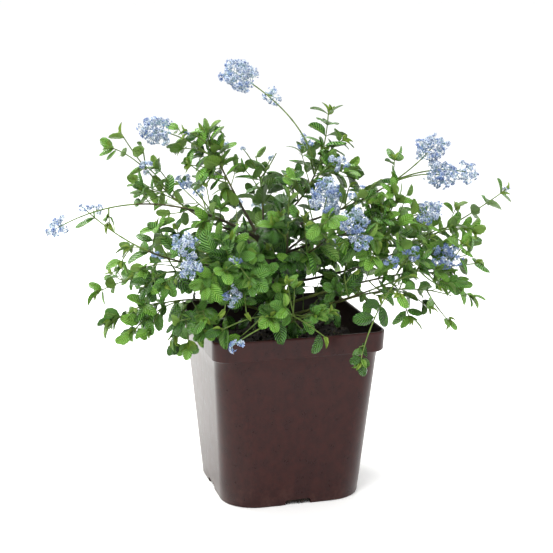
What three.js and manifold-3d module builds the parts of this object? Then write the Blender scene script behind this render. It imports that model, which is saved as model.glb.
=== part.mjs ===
// A young california lilac in its square plastic nursery pot.
// Millimetres, +Z up. The origin is the middle of the pot's flat underside and
// the pot's four walls face along X and Y.
import * as THREE from 'three';
import * as BufferGeometryUtils from 'three/addons/utils/BufferGeometryUtils.js';
import Module from 'manifold-3d';

const wasm = await Module();
wasm.setup();

// ---- driving sizes -----------------------------------------------------------

const fitGap = 0.3;              // clear gap between neighbouring pieces

const pot = {
  rimHalf: 85,                   // half the side of the square rim
  rimCorner: 14,                 // corner radius at the rim
  footHalf: 70,
  footCorner: 35,
  height: 172,
  bandHeight: 20,                // the stiff band under the rim
  bandStep: 3.4,                 // how far the band stands out from the wall
  wall: 1.8,
  lip: 2.6,
  floor: 2.4,
  notchWide: 26,                 // drainage notch in the middle of each side
  notchHigh: 5.5,
  notchDeep: 17,
  around: 24,                    // points round the square
};

const soil = {
  top: 150,                      // ground level inside the pot
  dip: 3.5,                      // how far it falls away to the wall
  lumps: 1.6,
  flat: 13,                      // radius of the level patch round the trunk
};

const trunk = {
  foot: [6, 0],                  // where it leaves the soil
  lean: [-18, 16, 255],          // its fork
  rise: 192,                     // height up to which it still climbs straight
  flareRadius: 7.4,
  footRadius: 4.6,
  forkRadius: 2.6,
};

const leaf = {
  spacing: 18,                   // along a twig
  length: 27,
  broad: 0.58,                   // width over length
  thick: 0.04,                   // thickness over length
  apart: 0.45,                   // least distance between leaf middles over length
  turn: 137.5,                   // degrees round the twig from one leaf to the next
};

const twig = {
  radius: 0.8,
  tipRadius: 0.5,
  length: 46,
  carried: 0.8,                  // share of a stem that carries side twigs
};

const room = {
  between: 2.6,                  // how much nearer its own stem than any other
  limb: 1.6,                     // clear of every trunk and bough
};

// Every limb leaves the trunk at a height share, bends through `via` and ends
// at `to`; both are [degrees from +X, distance out, height]. The first `bare`
// share of it is a bough and the rest is the stem of a mass of foliage.
// A shoot leaves the stem (or, with `on`, an earlier shoot) at share `at`.
// `bloom` is the radius of the flowers at a tip, `leafy` how close leaves stand,
// `twigs` how many side twigs grow and `carried` the share of stem they grow on.
const limbs = {
  left_arch: {
    up: 0.93, via: [172, 118, 287], to: [170, 214, 265], thick: 1.7, bare: 0.34, bloom: 10, twigs: 1, leafy: 0.7,
    carried: 0.35,
    shoots: [
      { at: 0.8, to: [169, 176, 282], bloom: 6, leafy: 0 },
      { at: 0.74, to: [176, 165, 272], bloom: 0, leafy: 0.6 },
    ],
  },
  left_fork: {
    up: 0.8, via: [-172, 108, 238], to: [-177, 191, 291], thick: 1.5, bare: 0.4, bloom: 5, twigs: 2, leafy: 0.7,
    carried: 0.4,
    shoots: [
      { at: 0.72, to: [-175, 158, 240], bloom: 0, leafy: 1 },
    ],
  },
  left_upper: {
    up: 0.985, via: [158, 92, 279], to: [157, 156, 352], thick: 1.9, bare: 0.34, bloom: 0, twigs: 3, leafy: 1.5,
    shoots: [
      { at: 0.62, to: [163, 129, 321], bloom: 7, leafy: 0 },
      { at: 0.8, to: [158, 134, 339], bloom: 0, leafy: 1 },
    ],
  },
  left_top: {
    up: 0.955, via: [143, 54, 305], to: [137, 84, 353], thick: 1.9, bare: 0.36, bloom: 0, twigs: 2, leafy: 1.7,
    shoots: [
      { at: 0.66, to: [151, 124, 353], bloom: 15, leafy: 0.4 },
      { at: 0.6, to: [122, 71, 336], bloom: 4, leafy: 1 },
      { at: 0.8, to: [152, 91, 352], bloom: 4, leafy: 0.6 },
    ],
  },
  centre_back: {
    up: 0.88, via: [98, 42, 286], to: [94, 70, 322], thick: 1.4, bare: 0.33, bloom: 0, twigs: 2, leafy: 1.7,
    shoots: [
      { at: 0.6, to: [80, 80, 318], bloom: 4, leafy: 0.6 },
      { at: 0.7, to: [106, 68, 330], bloom: 4, leafy: 0.6 },
    ],
  },
  centre_upright: {
    up: 0.3, via: [-95, 45, 258], to: [-95, 52, 318], thick: 1.4, bare: 0.24, bloom: 0, twigs: 4, leafy: 1.8,
    shoots: [],
  },
  top: {
    up: 1, via: [16, 34, 298], to: [17, 58, 373], thick: 2, bare: 0.32, bloom: 0, twigs: 2, leafy: 2.3,
    carried: 0.5,
    shoots: [
      { at: 0.62, to: [149, 39, 408], bloom: 16, leafy: 0, mid: [24, 18, 364] },
      { on: 0, at: 0.78, to: [100, 14, 388], bloom: 9, leafy: 0 },
      { at: 0.6, to: [24, 32, 342], bloom: 7, leafy: 0.3 },
      { at: 0.5, to: [-24, 58, 326], bloom: 9, leafy: 0.5 },
    ],
  },
  centre_front: {
    up: 0.62, via: [-62, 56, 252], to: [-65, 105, 283], thick: 1.6, bare: 0.3, bloom: 12, twigs: 4, leafy: 1.5,
    shoots: [
      { at: 0.5, to: [-60, 63, 299], bloom: 16, leafy: 0.8 },
      { at: 0.8, to: [-66, 119, 268], bloom: 10, leafy: 0 },
    ],
  },
  right_upper: {
    up: 0.97, via: [-14, 82, 289], to: [-16, 147, 339], thick: 1.9, bare: 0.34, bloom: 14, twigs: 3, leafy: 1.1,
    carried: 0.55,
    shoots: [
      { at: 0.66, to: [-20, 156, 315], bloom: 14, leafy: 0.4 },
      { at: 0.7, to: [-12, 184, 314], bloom: 11, leafy: 0.4 },
      { at: 0.5, to: [-8, 100, 306], bloom: 0, leafy: 1 },
    ],
  },
  right_mid: {
    up: 0.78, via: [-30, 76, 262], to: [-29, 148, 283], thick: 1.6, bare: 0.34, bloom: 12, twigs: 4, leafy: 1.6,
    shoots: [],
  },
  right_long: {
    up: 0.56, via: [-9, 112, 231], to: [-8, 228, 294], thick: 1.6, bare: 0.36, bloom: 3.6, twigs: 3, leafy: 1.3,
    carried: 0.5,
    shoots: [
      { at: 0.72, to: [-12, 192, 254], bloom: 0, leafy: 1 },
    ],
  },
  right_low: {
    up: 0.34, via: [-32, 98, 216], to: [-24, 196, 232], thick: 1.7, bare: 0.4, bloom: 0, twigs: 4, leafy: 1.7,
    shoots: [
      { at: 0.72, to: [-31, 165, 242], bloom: 13, leafy: 0.3 },
      { at: 0.6, to: [-42, 140, 248], bloom: 8, leafy: 0.3 },
      { at: 0.55, to: [-51, 129, 243], bloom: 7, leafy: 0.6 },
    ],
  },
  right_droop: {
    up: 0.13, via: [-15, 96, 196], to: [-12, 172, 190], thick: 1.4, bare: 0.4, bloom: 0, twigs: 3, leafy: 1.4,
    shoots: [
      { at: 0.62, to: [-24, 129, 176], bloom: 0, leafy: 1 },
      { at: 0.6, to: [-21, 148, 184], bloom: 0, leafy: 1 },
    ],
  },
  front_right: {
    up: 0.22, via: [-46, 84, 203], to: [-43, 138, 228], thick: 1.6, bare: 0.36, bloom: 0, twigs: 3, leafy: 1.5,
    shoots: [
      { at: 0.88, to: [-73, 138, 158], bloom: 0, leafy: 1.3, mid: [-62, 130, 197] },
    ],
  },
  front_low: {
    up: 0.11, via: [-97, 60, 189], to: [-84, 116, 180], thick: 1.3, bare: 0.3, bloom: 0, twigs: 4, leafy: 1.6,
    shoots: [
      { at: 0.5, to: [-108, 86, 196], bloom: 0, leafy: 1.2 },
      { at: 0.6, to: [-124, 126, 177], bloom: 7, leafy: 0.5, mid: [-112, 104, 190] },
    ],
  },
  front_left: {
    up: 0.68, via: [-143, 68, 238], to: [-148, 127, 264], thick: 1.5, bare: 0.32, bloom: 12, twigs: 2, leafy: 1.4,
    carried: 0.6,
    shoots: [
      { at: 0.7, to: [-144, 127, 244], bloom: 11, leafy: 0.3 },
      { at: 0.6, to: [-130, 96, 250], bloom: 5, leafy: 1 },
      { at: 0.5, to: [-130, 105, 215], bloom: 9, leafy: 1 },
    ],
  },
  left_bottom: {
    up: 0.2, via: [-165, 88, 200], to: [-172, 168, 186], thick: 1.5, bare: 0.38, bloom: 0, twigs: 3, leafy: 1.5,
    shoots: [
      { at: 0.7, to: [-161, 145, 180], bloom: 0, leafy: 1.2 },
      { at: 0.55, to: [-149, 140, 178], bloom: 0, leafy: 1.2, mid: [-155, 120, 194] },
    ],
  },
  left_low: {
    up: 0.43, via: [179, 92, 222], to: [175, 178, 204], thick: 1.6, bare: 0.36, bloom: 0, twigs: 4, leafy: 1.5,
    shoots: [
      { at: 0.6, to: [178, 142, 220], bloom: 0, leafy: 1 },
    ],
  },
  back_left: {
    up: 0.85, via: [122, 76, 254], to: [121, 144, 288], thick: 1.7, bare: 0.34, bloom: 0, twigs: 3, leafy: 1.2,
    shoots: [
      { at: 0.6, to: [128, 118, 294], bloom: 9, leafy: 0.6 },
      { at: 0.7, to: [112, 138, 278], bloom: 8, leafy: 0.6 },
    ],
  },
  back: {
    up: 0.5, via: [85, 84, 226], to: [82, 164, 258], thick: 1.7, bare: 0.34, bloom: 9, twigs: 3, leafy: 1.1,
    shoots: [
      { at: 0.6, to: [94, 130, 262], bloom: 8, leafy: 0.8 },
    ],
  },
  back_right: {
    up: 0.74, via: [42, 78, 250], to: [40, 150, 272], thick: 1.7, bare: 0.34, bloom: 10, twigs: 3, leafy: 1.2,
    shoots: [
      { at: 0.6, to: [50, 120, 278], bloom: 9, leafy: 0.6 },
    ],
  },
  back_low_right: {
    up: 0.31, via: [57, 86, 208], to: [56, 164, 214], thick: 1.5, bare: 0.38, bloom: 0, twigs: 3, leafy: 1.1,
    shoots: [
      { at: 0.6, to: [48, 142, 226], bloom: 7, leafy: 1 },
      { at: 0.7, to: [64, 146, 196], bloom: 0, leafy: 1 },
    ],
  },
  back_low_left: {
    up: 0.38, via: [126, 86, 208], to: [130, 156, 206], thick: 1.5, bare: 0.38, bloom: 0, twigs: 2, leafy: 1.1,
    shoots: [
      { at: 0.6, to: [140, 136, 222], bloom: 6, leafy: 1 },
      { at: 0.7, to: [118, 142, 198], bloom: 0, leafy: 1 },
    ],
  },
};

// ---- small helpers -----------------------------------------------------------

const up = new THREE.Vector3(0, 0, 1);

function radians(degrees) {
  return degrees * Math.PI / 180;
}

function placeAt([azimuth, reach, height]) {
  const angle = radians(azimuth);
  return new THREE.Vector3(reach * Math.cos(angle), reach * Math.sin(angle), height);
}

// A repeatable run of numbers between 0 and 1.
function seededNumbers(seed) {
  let state = seed;
  return () => {
    state = (state * 1664525 + 1013904223) % 4294967296;
    return state / 4294967296;
  };
}

// A limb's curve from its start through its bend, half way along, to its tip.
function curveThrough(start, bend, tip) {
  const pull = bend.clone().multiplyScalar(2).sub(start.clone().add(tip).multiplyScalar(0.5));
  return new THREE.QuadraticBezierCurve3(start, pull, tip);
}

function partOfCurve(curve, from, to) {
  const start = curve.getPoint(from);
  const end = curve.getPoint(to);
  const towards = curve.v0.clone().lerp(curve.v1, from);
  const beyond = curve.v1.clone().lerp(curve.v2, from);
  return new THREE.QuadraticBezierCurve3(start, towards.lerp(beyond, to), end);
}

function speedAt(curve, share) {
  const first = curve.v1.clone().sub(curve.v0).multiplyScalar(2 * (1 - share));
  const second = curve.v2.clone().sub(curve.v1).multiplyScalar(2 * share);
  return first.add(second);
}

function pointsAlong(curve, count) {
  const points = [];
  for (let i = 0; i <= count; i += 1) {
    points.push(curve.getPoint(i / count));
  }
  return points;
}

// ---- solids ------------------------------------------------------------------

function toSolid(geometry) {
  const bare = geometry.clone();
  for (const name of Object.keys(bare.attributes)) {
    if (name !== 'position') {
      bare.deleteAttribute(name);
    }
  }
  const merged = BufferGeometryUtils.mergeVertices(bare, 1e-4);
  const mesh = new wasm.Mesh({
    numProp: 3,
    vertProperties: Float32Array.from(merged.attributes.position.array),
    triVerts: Uint32Array.from(merged.index.array),
  });
  return new wasm.Manifold(mesh);
}

function toGeometry(solid) {
  const mesh = solid.getMesh();
  const geometry = new THREE.BufferGeometry();
  geometry.setAttribute('position', new THREE.BufferAttribute(Float32Array.from(mesh.vertProperties), 3));
  geometry.setIndex(new THREE.BufferAttribute(Uint32Array.from(mesh.triVerts), 1));
  geometry.computeVertexNormals();
  return geometry;
}

// Pieces fused two by two; what isn't joined to the biggest body is dropped.
function fused(solids) {
  let layer = solids;
  while (layer.length > 1) {
    const next = [];
    for (let i = 0; i < layer.length; i += 2) {
      next.push(i + 1 < layer.length ? layer[i].add(layer[i + 1]) : layer[i]);
    }
    layer = next;
  }
  return biggestBody(layer[0]);
}

function biggestBody(solid) {
  const bodies = solid.decompose();
  bodies.sort((a, b) => b.volume() - a.volume());
  return bodies[0];
}

// A tapering limb along a curve: a slender prism whose rings are then opened
// out to the radius that the limb has at that share of its length.
function taperedLimb(curve, steps, sides, radiusAt) {
  const slim = 0.2;
  const outline = new THREE.Shape();
  for (let i = 0; i < sides; i += 1) {
    const angle = 2 * Math.PI * i / sides;
    const x = slim * Math.cos(angle);
    const y = slim * Math.sin(angle);
    if (i === 0) {
      outline.moveTo(x, y);
    } else {
      outline.lineTo(x, y);
    }
  }
  outline.closePath();
  const prism = new THREE.ExtrudeGeometry(outline, { steps, extrudePath: curve, bevelEnabled: false });
  const middles = curve.getSpacedPoints(steps);
  const position = prism.attributes.position;
  const vertex = new THREE.Vector3();
  for (let i = 0; i < position.count; i += 1) {
    vertex.fromBufferAttribute(position, i);
    let nearest = 0;
    for (let k = 1; k <= steps; k += 1) {
      if (middles[k].distanceToSquared(vertex) < middles[nearest].distanceToSquared(vertex)) {
        nearest = k;
      }
    }
    vertex.sub(middles[nearest]).multiplyScalar(radiusAt(nearest / steps) / slim).add(middles[nearest]);
    position.setXYZ(i, vertex.x, vertex.y, vertex.z);
  }
  return prism;
}

// ---- pot and soil ------------------------------------------------------------

// Distance from the middle to a rounded square's edge in direction `angle`.
function squareReach(angle, half, corner) {
  const a = Math.max(Math.abs(Math.cos(angle)), Math.abs(Math.sin(angle)));
  const b = Math.min(Math.abs(Math.cos(angle)), Math.abs(Math.sin(angle)));
  const inset = half - corner;
  if (half * b / a <= inset) {
    return half / a;
  }
  const along = inset * (a + b);
  return along + Math.sqrt(along * along - 2 * inset * inset + corner * corner);
}

// Turns a profile of [half side, height, corner radius] into a square body:
// a lathe whose circles are pressed out to rounded squares, with the points
// gathered towards the corners.
function squareLathe(profile, around, lift = () => 0) {
  const outline = profile.map(([half, height]) => new THREE.Vector2(half, height));
  const lathe = new THREE.LatheGeometry(outline, around);
  const position = lathe.attributes.position;
  const quarter = around / 4;
  for (let i = 0; i < position.count; i += 1) {
    const row = Math.floor(i / profile.length) % around;
    const [half, height, corner] = profile[i % profile.length];
    const within = 2 * (row % quarter) / quarter - 1;
    const spread = Math.sign(within) * Math.abs(within) ** 1.9;
    const angle = radians(45 + 45 * spread + 90 * Math.floor(row / quarter));
    const reach = half === 0 ? 0 : squareReach(angle, half, corner);
    const x = reach * Math.cos(angle);
    const y = reach * Math.sin(angle);
    position.setXYZ(i, x, y, height + lift(x, y, i % profile.length));
  }
  return lathe;
}

function wallHalf(height) {
  const share = height / (pot.height - pot.bandHeight);
  const topHalf = pot.rimHalf - pot.bandStep - 0.7;
  return pot.footHalf + (topHalf - pot.footHalf) * share;
}

function wallCorner(height) {
  const share = height / (pot.height - pot.bandHeight);
  return pot.footCorner + (pot.rimCorner + 6 - pot.footCorner) * share;
}

function makePot() {
  const bandLow = pot.height - pot.bandHeight;
  const wall = pot.wall;
  const profile = [
    [0, 0, 0],
    [pot.footHalf - 1.4, 0, pot.footCorner - 1],
    [pot.footHalf, 1.6, pot.footCorner],
    [wallHalf(bandLow * 0.5), bandLow * 0.5, wallCorner(bandLow * 0.5)],
    [wallHalf(bandLow), bandLow, wallCorner(bandLow)],
    [pot.rimHalf - 0.9, bandLow + 0.9, pot.rimCorner + 1],
    [pot.rimHalf, pot.height - 1, pot.rimCorner],
    [pot.rimHalf - 0.8, pot.height, pot.rimCorner - 0.5],
    [pot.rimHalf - pot.lip, pot.height, pot.rimCorner - 2.4],
    [pot.rimHalf - pot.lip - 0.6, bandLow + 1, pot.rimCorner - 1],
    [wallHalf(bandLow) - wall, bandLow - 1.6, wallCorner(bandLow) - wall],
    [wallHalf(bandLow * 0.5) - wall, bandLow * 0.5, wallCorner(bandLow * 0.5) - wall],
    [wallHalf(pot.floor) - wall, pot.floor, pot.footCorner - wall],
    [0, pot.floor, 0],
  ];
  let body = toSolid(squareLathe(profile, pot.around));
  for (let side = 0; side < 4; side += 1) {
    const notch = new THREE.BoxGeometry(2 * pot.notchDeep, pot.notchWide, 2 * pot.notchHigh);
    notch.translate(pot.footHalf, 0, 0);
    notch.rotateZ(side * Math.PI / 2);
    body = body.subtract(toSolid(notch));
  }
  return toGeometry(body);
}

// The soil's uneven top, level round the trunk and lower at the wall.
function soilHeight(x, y) {
  const out = Math.hypot(x, y);
  const loose = Math.min(1, Math.max(0, (out - soil.flat) / 20));
  const bumps = Math.sin(x * 0.21 + 1.3) * Math.cos(y * 0.17) + 0.6 * Math.sin(x * 0.09 - y * 0.23);
  return loose * (soil.lumps * bumps - soil.dip * out / pot.rimHalf);
}

// The profile runs downwards, as the pot's inner wall does, so that the facets
// of both match; the faces are then turned to look outwards.
function makeSoil() {
  const inner = pot.wall + fitGap + 0.05;
  const middle = (pot.height - pot.bandHeight) * 0.5;
  const edge = wallHalf(soil.top) - inner - 0.9;
  const edgeCorner = wallCorner(soil.top) - inner;
  const profile = [
    [0, soil.top, 0],
    [soil.flat, soil.top, soil.flat],
    [edge * 0.46, soil.top, edgeCorner * 0.8],
    [edge * 0.74, soil.top, edgeCorner * 0.9],
    [edge, soil.top, edgeCorner],
    [wallHalf(middle) - inner, middle, wallCorner(middle) - inner],
    [wallHalf(pot.floor) - inner - 0.1, pot.floor + fitGap, pot.footCorner - inner],
    [0, pot.floor + fitGap, 0],
  ];
  const lastTop = 4;
  const lift = (x, y, ring) => (ring <= lastTop ? soilHeight(x, y) : 0);
  const geometry = squareLathe(profile, pot.around, lift);
  geometry.index.array.reverse();
  return toGeometry(toSolid(geometry));
}

// ---- trunk, boughs and the curves of every shoot ------------------------------

const trunkCurve = new THREE.QuadraticBezierCurve3(
  new THREE.Vector3(trunk.foot[0], trunk.foot[1], soil.top + fitGap),
  new THREE.Vector3(trunk.foot[0], trunk.foot[1], trunk.rise),
  new THREE.Vector3(...trunk.lean),
);

function trunkRadius(share) {
  const taper = trunk.footRadius + (trunk.forkRadius - trunk.footRadius) * share;
  const flare = (trunk.flareRadius - trunk.footRadius) * Math.max(0, 1 - share / 0.12) ** 2;
  return taper + flare;
}

function trunkSolid(extra) {
  return toSolid(taperedLimb(trunkCurve, 8, 7, (share) => trunkRadius(share) + extra));
}

function limbRadius(plan, share) {
  const slim = 0.95;
  return plan.thick + (slim - plan.thick) * Math.min(1, share / plan.bare);
}

// Works out each limb's curve, its bough, its stem and its shoots.
function planLimbs() {
  return Object.entries(limbs).map(([name, plan], order) => {
    const curve = curveThrough(trunkCurve.getPoint(plan.up), placeAt(plan.via), placeAt(plan.to));
    const gapShare = fitGap / speedAt(curve, plan.bare).length();
    const stem = partOfCurve(curve, plan.bare + gapShare, 1);
    const bough = partOfCurve(curve, 0, plan.bare);
    const shoots = [];
    for (const shoot of plan.shoots) {
      const host = shoot.on === undefined ? curve : shoots[shoot.on].curve;
      const start = host.getPoint(shoot.at);
      const tip = placeAt(shoot.to);
      const rise = start.clone().lerp(tip, 0.5).addScaledVector(up, 0.08 * start.distanceTo(tip));
      const bend = shoot.mid ? placeAt(shoot.mid) : rise;
      shoots.push({ ...shoot, curve: curveThrough(start, bend, tip) });
    }
    return { name, order, plan, curve, stem, bough, shoots };
  });
}

const planned = planLimbs();

// ---- each mass keeps to its own space -----------------------------------------

// Points along every stem and shoot, each with the limb it belongs to.
const stemMarks = [];
const limbMarks = [];

function markStems() {
  for (const limb of planned) {
    const curves = [limb.stem, ...limb.shoots.map((shoot) => shoot.curve)];
    for (const curve of curves) {
      for (const point of pointsAlong(curve, 12)) {
        stemMarks.push({ point, owner: limb.order, reach: 0 });
      }
    }
    if (limb.plan.bloom > 0) {
      stemMarks.push({ point: limb.stem.v2, owner: limb.order, reach: limb.plan.bloom });
    }
    for (const shoot of limb.shoots) {
      stemMarks.push({ point: shoot.curve.v2, owner: limb.order, reach: shoot.bloom });
    }
    for (const [i, point] of pointsAlong(limb.bough, 16).entries()) {
      limbMarks.push({ point, reach: limbRadius(limb.plan, limb.plan.bare * i / 16) });
    }
  }
  for (const [i, point] of pointsAlong(trunkCurve, 24).entries()) {
    limbMarks.push({ point, reach: trunkRadius(i / 24) });
  }
}

markStems();

function inOwnSpace(owner, point) {
  let own = Infinity;
  let other = Infinity;
  for (const mark of stemMarks) {
    const distance = mark.point.distanceTo(point) - mark.reach;
    if (mark.owner === owner) {
      own = Math.min(own, distance);
    } else {
      other = Math.min(other, distance);
    }
  }
  return own + room.between < other;
}

function clearOfLimbs(point) {
  return limbMarks.every((mark) => mark.point.distanceTo(point) > mark.reach + room.limb);
}

function clearOfPot(point) {
  const out = Math.max(Math.abs(point.x), Math.abs(point.y));
  if (point.z > pot.height + 3) {
    return true;
  }
  if (out > pot.rimHalf + 2.5) {
    return point.z > 4;
  }
  return out < pot.rimHalf - 9 && point.z > soil.top + 4;
}

function fits(owner, points) {
  return points.every((point) => clearOfPot(point) && clearOfLimbs(point) && inOwnSpace(owner, point));
}

// ---- growth --------------------------------------------------------------------

// Axes across a twig: to the side and away from the ground.
function acrossAxes(forward) {
  const side = new THREE.Vector3().crossVectors(forward, up);
  if (side.length() < 0.2) {
    side.set(1, 0, 0);
  }
  side.normalize();
  const away = new THREE.Vector3().crossVectors(side, forward).normalize();
  return { side, away };
}

function mixed(...pairs) {
  const sum = new THREE.Vector3();
  for (const [vector, weight] of pairs) {
    sum.addScaledVector(vector, weight);
  }
  return sum.normalize();
}

// A leaf as its root, the way it points, the way its face looks and its length.
function leafFrom(root, forward, angle, lean, length, random) {
  const { side, away } = acrossAxes(forward);
  const around = side.multiplyScalar(Math.cos(angle)).addScaledVector(away, Math.sin(angle));
  const points = mixed([around, 1], [forward, lean], [up, 0.12]);
  const outward = new THREE.Vector3(root.x, root.y, 0).normalize();
  const loose = new THREE.Vector3(random() - 0.5, random() - 0.5, random() - 0.5);
  const face = mixed([up, 0.62], [outward, 0.42], [forward, 0.25], [loose, 1.1]);
  face.addScaledVector(points, -face.dot(points)).normalize();
  return { root, points, face, length };
}

// The blade's outline: root, both sides low and high, and tip, a little arched.
function leafCorners({ root, points, face, length }) {
  const wide = new THREE.Vector3().crossVectors(points, face).multiplyScalar(length * leaf.broad / 2);
  const low = root.clone().addScaledVector(points, length * 0.36);
  const high = root.clone().addScaledVector(points, length * 0.72).addScaledVector(face, -0.02 * length);
  const tip = root.clone().addScaledVector(points, length).addScaledVector(face, -0.08 * length);
  return {
    lowLeft: low.clone().add(wide),
    lowRight: low.clone().sub(wide),
    highLeft: high.clone().addScaledVector(wide, 0.86),
    highRight: high.clone().addScaledVector(wide, -0.86),
    tip,
  };
}

function leafMiddle(one) {
  return one.root.clone().addScaledVector(one.points, 0.55 * one.length);
}

function leafProbes(one) {
  const { lowLeft, lowRight, highLeft, highRight, tip } = leafCorners(one);
  const between = (a, b) => a.clone().lerp(b, 0.5);
  return [
    between(one.root, lowLeft), between(one.root, lowRight), lowLeft, lowRight,
    between(lowLeft, lowRight), between(highLeft, highRight), highLeft, highRight,
    between(lowLeft, highLeft), between(lowRight, highRight), tip,
  ];
}

// A twig and the leaves on it; `host` is the twig it grows from.
function newTwig(curve, host, radius, steps) {
  return { curve, host, radius, steps, leaves: [] };
}

// A leaf is kept when it fits and stands clear of the leaves before it.
function tryLeaf(owner, one, grower, taken) {
  const middle = leafMiddle(one);
  const crowded = taken.some((other) => (
    leafMiddle(other).distanceTo(middle) < leaf.apart * 0.5 * (one.length + other.length)
  ));
  if (!crowded && fits(owner, leafProbes(one))) {
    taken.push(one);
    grower.leaves.push(one);
  }
}

// Leaves along a twig, turning round it from one to the next.
function dressTwig(owner, grower, leafy, size, random, taken) {
  const { curve } = grower;
  const nodes = leafy > 0 ? Math.max(1, Math.round(curve.getLength() * leafy / leaf.spacing)) : 0;
  const phase = 360 * random();
  for (let k = 0; k < nodes; k += 1) {
    const share = (k + 0.6) / nodes;
    const forward = speedAt(curve, share).normalize();
    const grown = size * (1 - 0.3 * share) * (0.8 + 0.4 * random());
    const one = leafFrom(curve.getPoint(share), forward, radians(phase + leaf.turn * k), 0.55, grown, random);
    tryLeaf(owner, one, grower, taken);
  }
}

// Two young leaves facing each other at a twig's tip.
function tuftAt(owner, grower, size, random, taken) {
  const forward = speedAt(grower.curve, 1).normalize();
  const phase = 2 * Math.PI * random();
  for (let k = 0; k < 2; k += 1) {
    const root = grower.curve.getPoint(0.985 - 0.03 * k);
    const one = leafFrom(root, forward, phase + Math.PI * k, 1, size * (0.85 + 0.3 * random()), random);
    tryLeaf(owner, one, grower, taken);
  }
}

// Side twig number k of a stem, shortened until it fits, or nothing.
function sideTwig(limb, stem, k, random) {
  const { plan, order } = limb;
  const share = (plan.carried ?? twig.carried) * (k + 0.25 + 0.5 * random()) / plan.twigs;
  const start = stem.curve.getPoint(share);
  const forward = speedAt(stem.curve, share).normalize();
  const { side, away } = acrossAxes(forward);
  const angle = radians(leaf.turn * k) + 1.25 * random() + order;
  const around = side.multiplyScalar(Math.cos(angle)).addScaledVector(away, Math.sin(angle));
  const heading = mixed([around, 0.85], [forward, 0.45], [up, 0.22]);
  const reach = twig.length * (0.65 + 0.6 * random()) * (1 - 0.35 * share);
  for (const cut of [1, 0.65, 0.42]) {
    const tip = start.clone().addScaledVector(heading, reach * cut);
    const bend = start.clone().lerp(tip, 0.5).addScaledVector(up, -0.06 * reach * cut);
    const curve = curveThrough(start, bend, tip);
    if (fits(order, pointsAlong(curve, 6).slice(1))) {
      return newTwig(curve, stem, twig.radius, 1);
    }
  }
  return null;
}

// Everything that one mass carries: its stem and twigs with their leaves, and
// the flower heads.
function growMass(limb) {
  const random = seededNumbers(1009 + 71 * limb.order);
  const { plan, order } = limb;
  const stem = newTwig(limb.stem, null, 0.95, 6);
  const twigs = [stem];
  const blooms = [];
  const taken = [];
  dressTwig(order, stem, plan.leafy * 0.8, leaf.length, random, taken);
  for (const shoot of limb.shoots) {
    const host = shoot.on === undefined ? stem : twigs[shoot.on + 1];
    const grower = newTwig(shoot.curve, host, twig.radius, shoot.mid ? 3 : 2);
    twigs.push(grower);
    dressTwig(order, grower, shoot.leafy, leaf.length * 0.86, random, taken);
    if (shoot.bloom > 0) {
      blooms.push({ centre: shoot.curve.v2, radius: shoot.bloom });
    } else {
      tuftAt(order, grower, leaf.length * 0.62, random, taken);
    }
  }
  if (plan.bloom > 0) {
    blooms.push({ centre: limb.stem.v2, radius: plan.bloom });
  } else {
    tuftAt(order, stem, leaf.length * 0.66, random, taken);
  }
  for (let k = 0; k < plan.twigs; k += 1) {
    const grower = sideTwig(limb, stem, k, random);
    if (grower) {
      twigs.push(grower);
      dressTwig(order, grower, 1.3, leaf.length * 0.85, random, taken);
      tuftAt(order, grower, leaf.length * 0.6, random, taken);
    }
  }
  return { twigs, blooms };
}

// ---- solids of a mass -----------------------------------------------------------

// A leaf blade: a thin eight-faced body, its upper triangle spanned by the root
// and the high sides, its lower one by the low sides and the tip.
function leafSolid(free, seat) {
  const one = { ...free, root: seat };
  const { lowLeft, lowRight, highLeft, highRight, tip } = leafCorners(one);
  const half = Math.max(0.5, one.length * leaf.thick) / 2;
  const root = one.root.clone().addScaledVector(one.points, -0.15);
  highLeft.addScaledVector(one.face, half);
  highRight.addScaledVector(one.face, half);
  lowLeft.addScaledVector(one.face, -half);
  lowRight.addScaledVector(one.face, -half);
  tip.addScaledVector(one.face, -half);
  const corners = [root, highLeft, highRight, lowLeft, lowRight, tip];
  const geometry = new THREE.BufferGeometry();
  geometry.setAttribute('position', new THREE.BufferAttribute(
    Float32Array.from(corners.flatMap((corner) => [corner.x, corner.y, corner.z])),
    3,
  ));
  geometry.setIndex([0, 1, 2, 3, 4, 5, 0, 3, 1, 0, 2, 4, 0, 4, 3, 1, 3, 5, 2, 5, 4, 1, 5, 2]);
  return toSolid(geometry);
}

// A flower head: a flattened ball round the tip.
function bloomSolid({ centre, radius }) {
  const ball = new THREE.IcosahedronGeometry(radius, 0);
  ball.rotateZ(radius * 7);
  ball.scale(1.08, 1.08, 0.86);
  ball.translate(centre.x, centre.y, centre.z);
  return toSolid(ball);
}

// The spot on a twig's straight facets that is nearest to a point of its curve.
function seatOn(path, point) {
  const segment = new THREE.Line3();
  let best = path[0];
  for (let i = 0; i + 1 < path.length; i += 1) {
    const spot = segment.set(path[i], path[i + 1]).closestPointToPoint(point, true, new THREE.Vector3());
    if (spot.distanceTo(point) < best.distanceTo(point)) {
      best = spot;
    }
  }
  return best;
}

function makeMass(limb) {
  const { twigs, blooms } = growMass(limb);
  const solids = [];
  for (const one of twigs) {
    const { curve } = one;
    if (one.host) {
      curve.v0.copy(seatOn(one.host.path, curve.v0));
    }
    one.path = curve.getSpacedPoints(one.steps);
    const radiusAt = (share) => one.radius + (twig.tipRadius - one.radius) * share;
    solids.push(toSolid(taperedLimb(curve, one.steps, 3, radiusAt)));
    for (const free of one.leaves) {
      solids.push(leafSolid(free, seatOn(one.path, free.root)));
    }
  }
  for (const one of blooms) {
    solids.push(bloomSolid(one));
  }
  return toGeometry(fused(solids));
}

// ---- materials and the finished plant ---------------------------------------------

function look(colour, roughness, metalness = 0) {
  return new THREE.MeshStandardMaterial({ color: new THREE.Color(colour), roughness, metalness });
}

const potLook = look('#483432', 0.42);
const soilLook = look('#2a211b', 0.95);
const barkLook = look('#3d3526', 0.8);
const foliageLook = look('#3f6a2c', 0.45);

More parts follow.
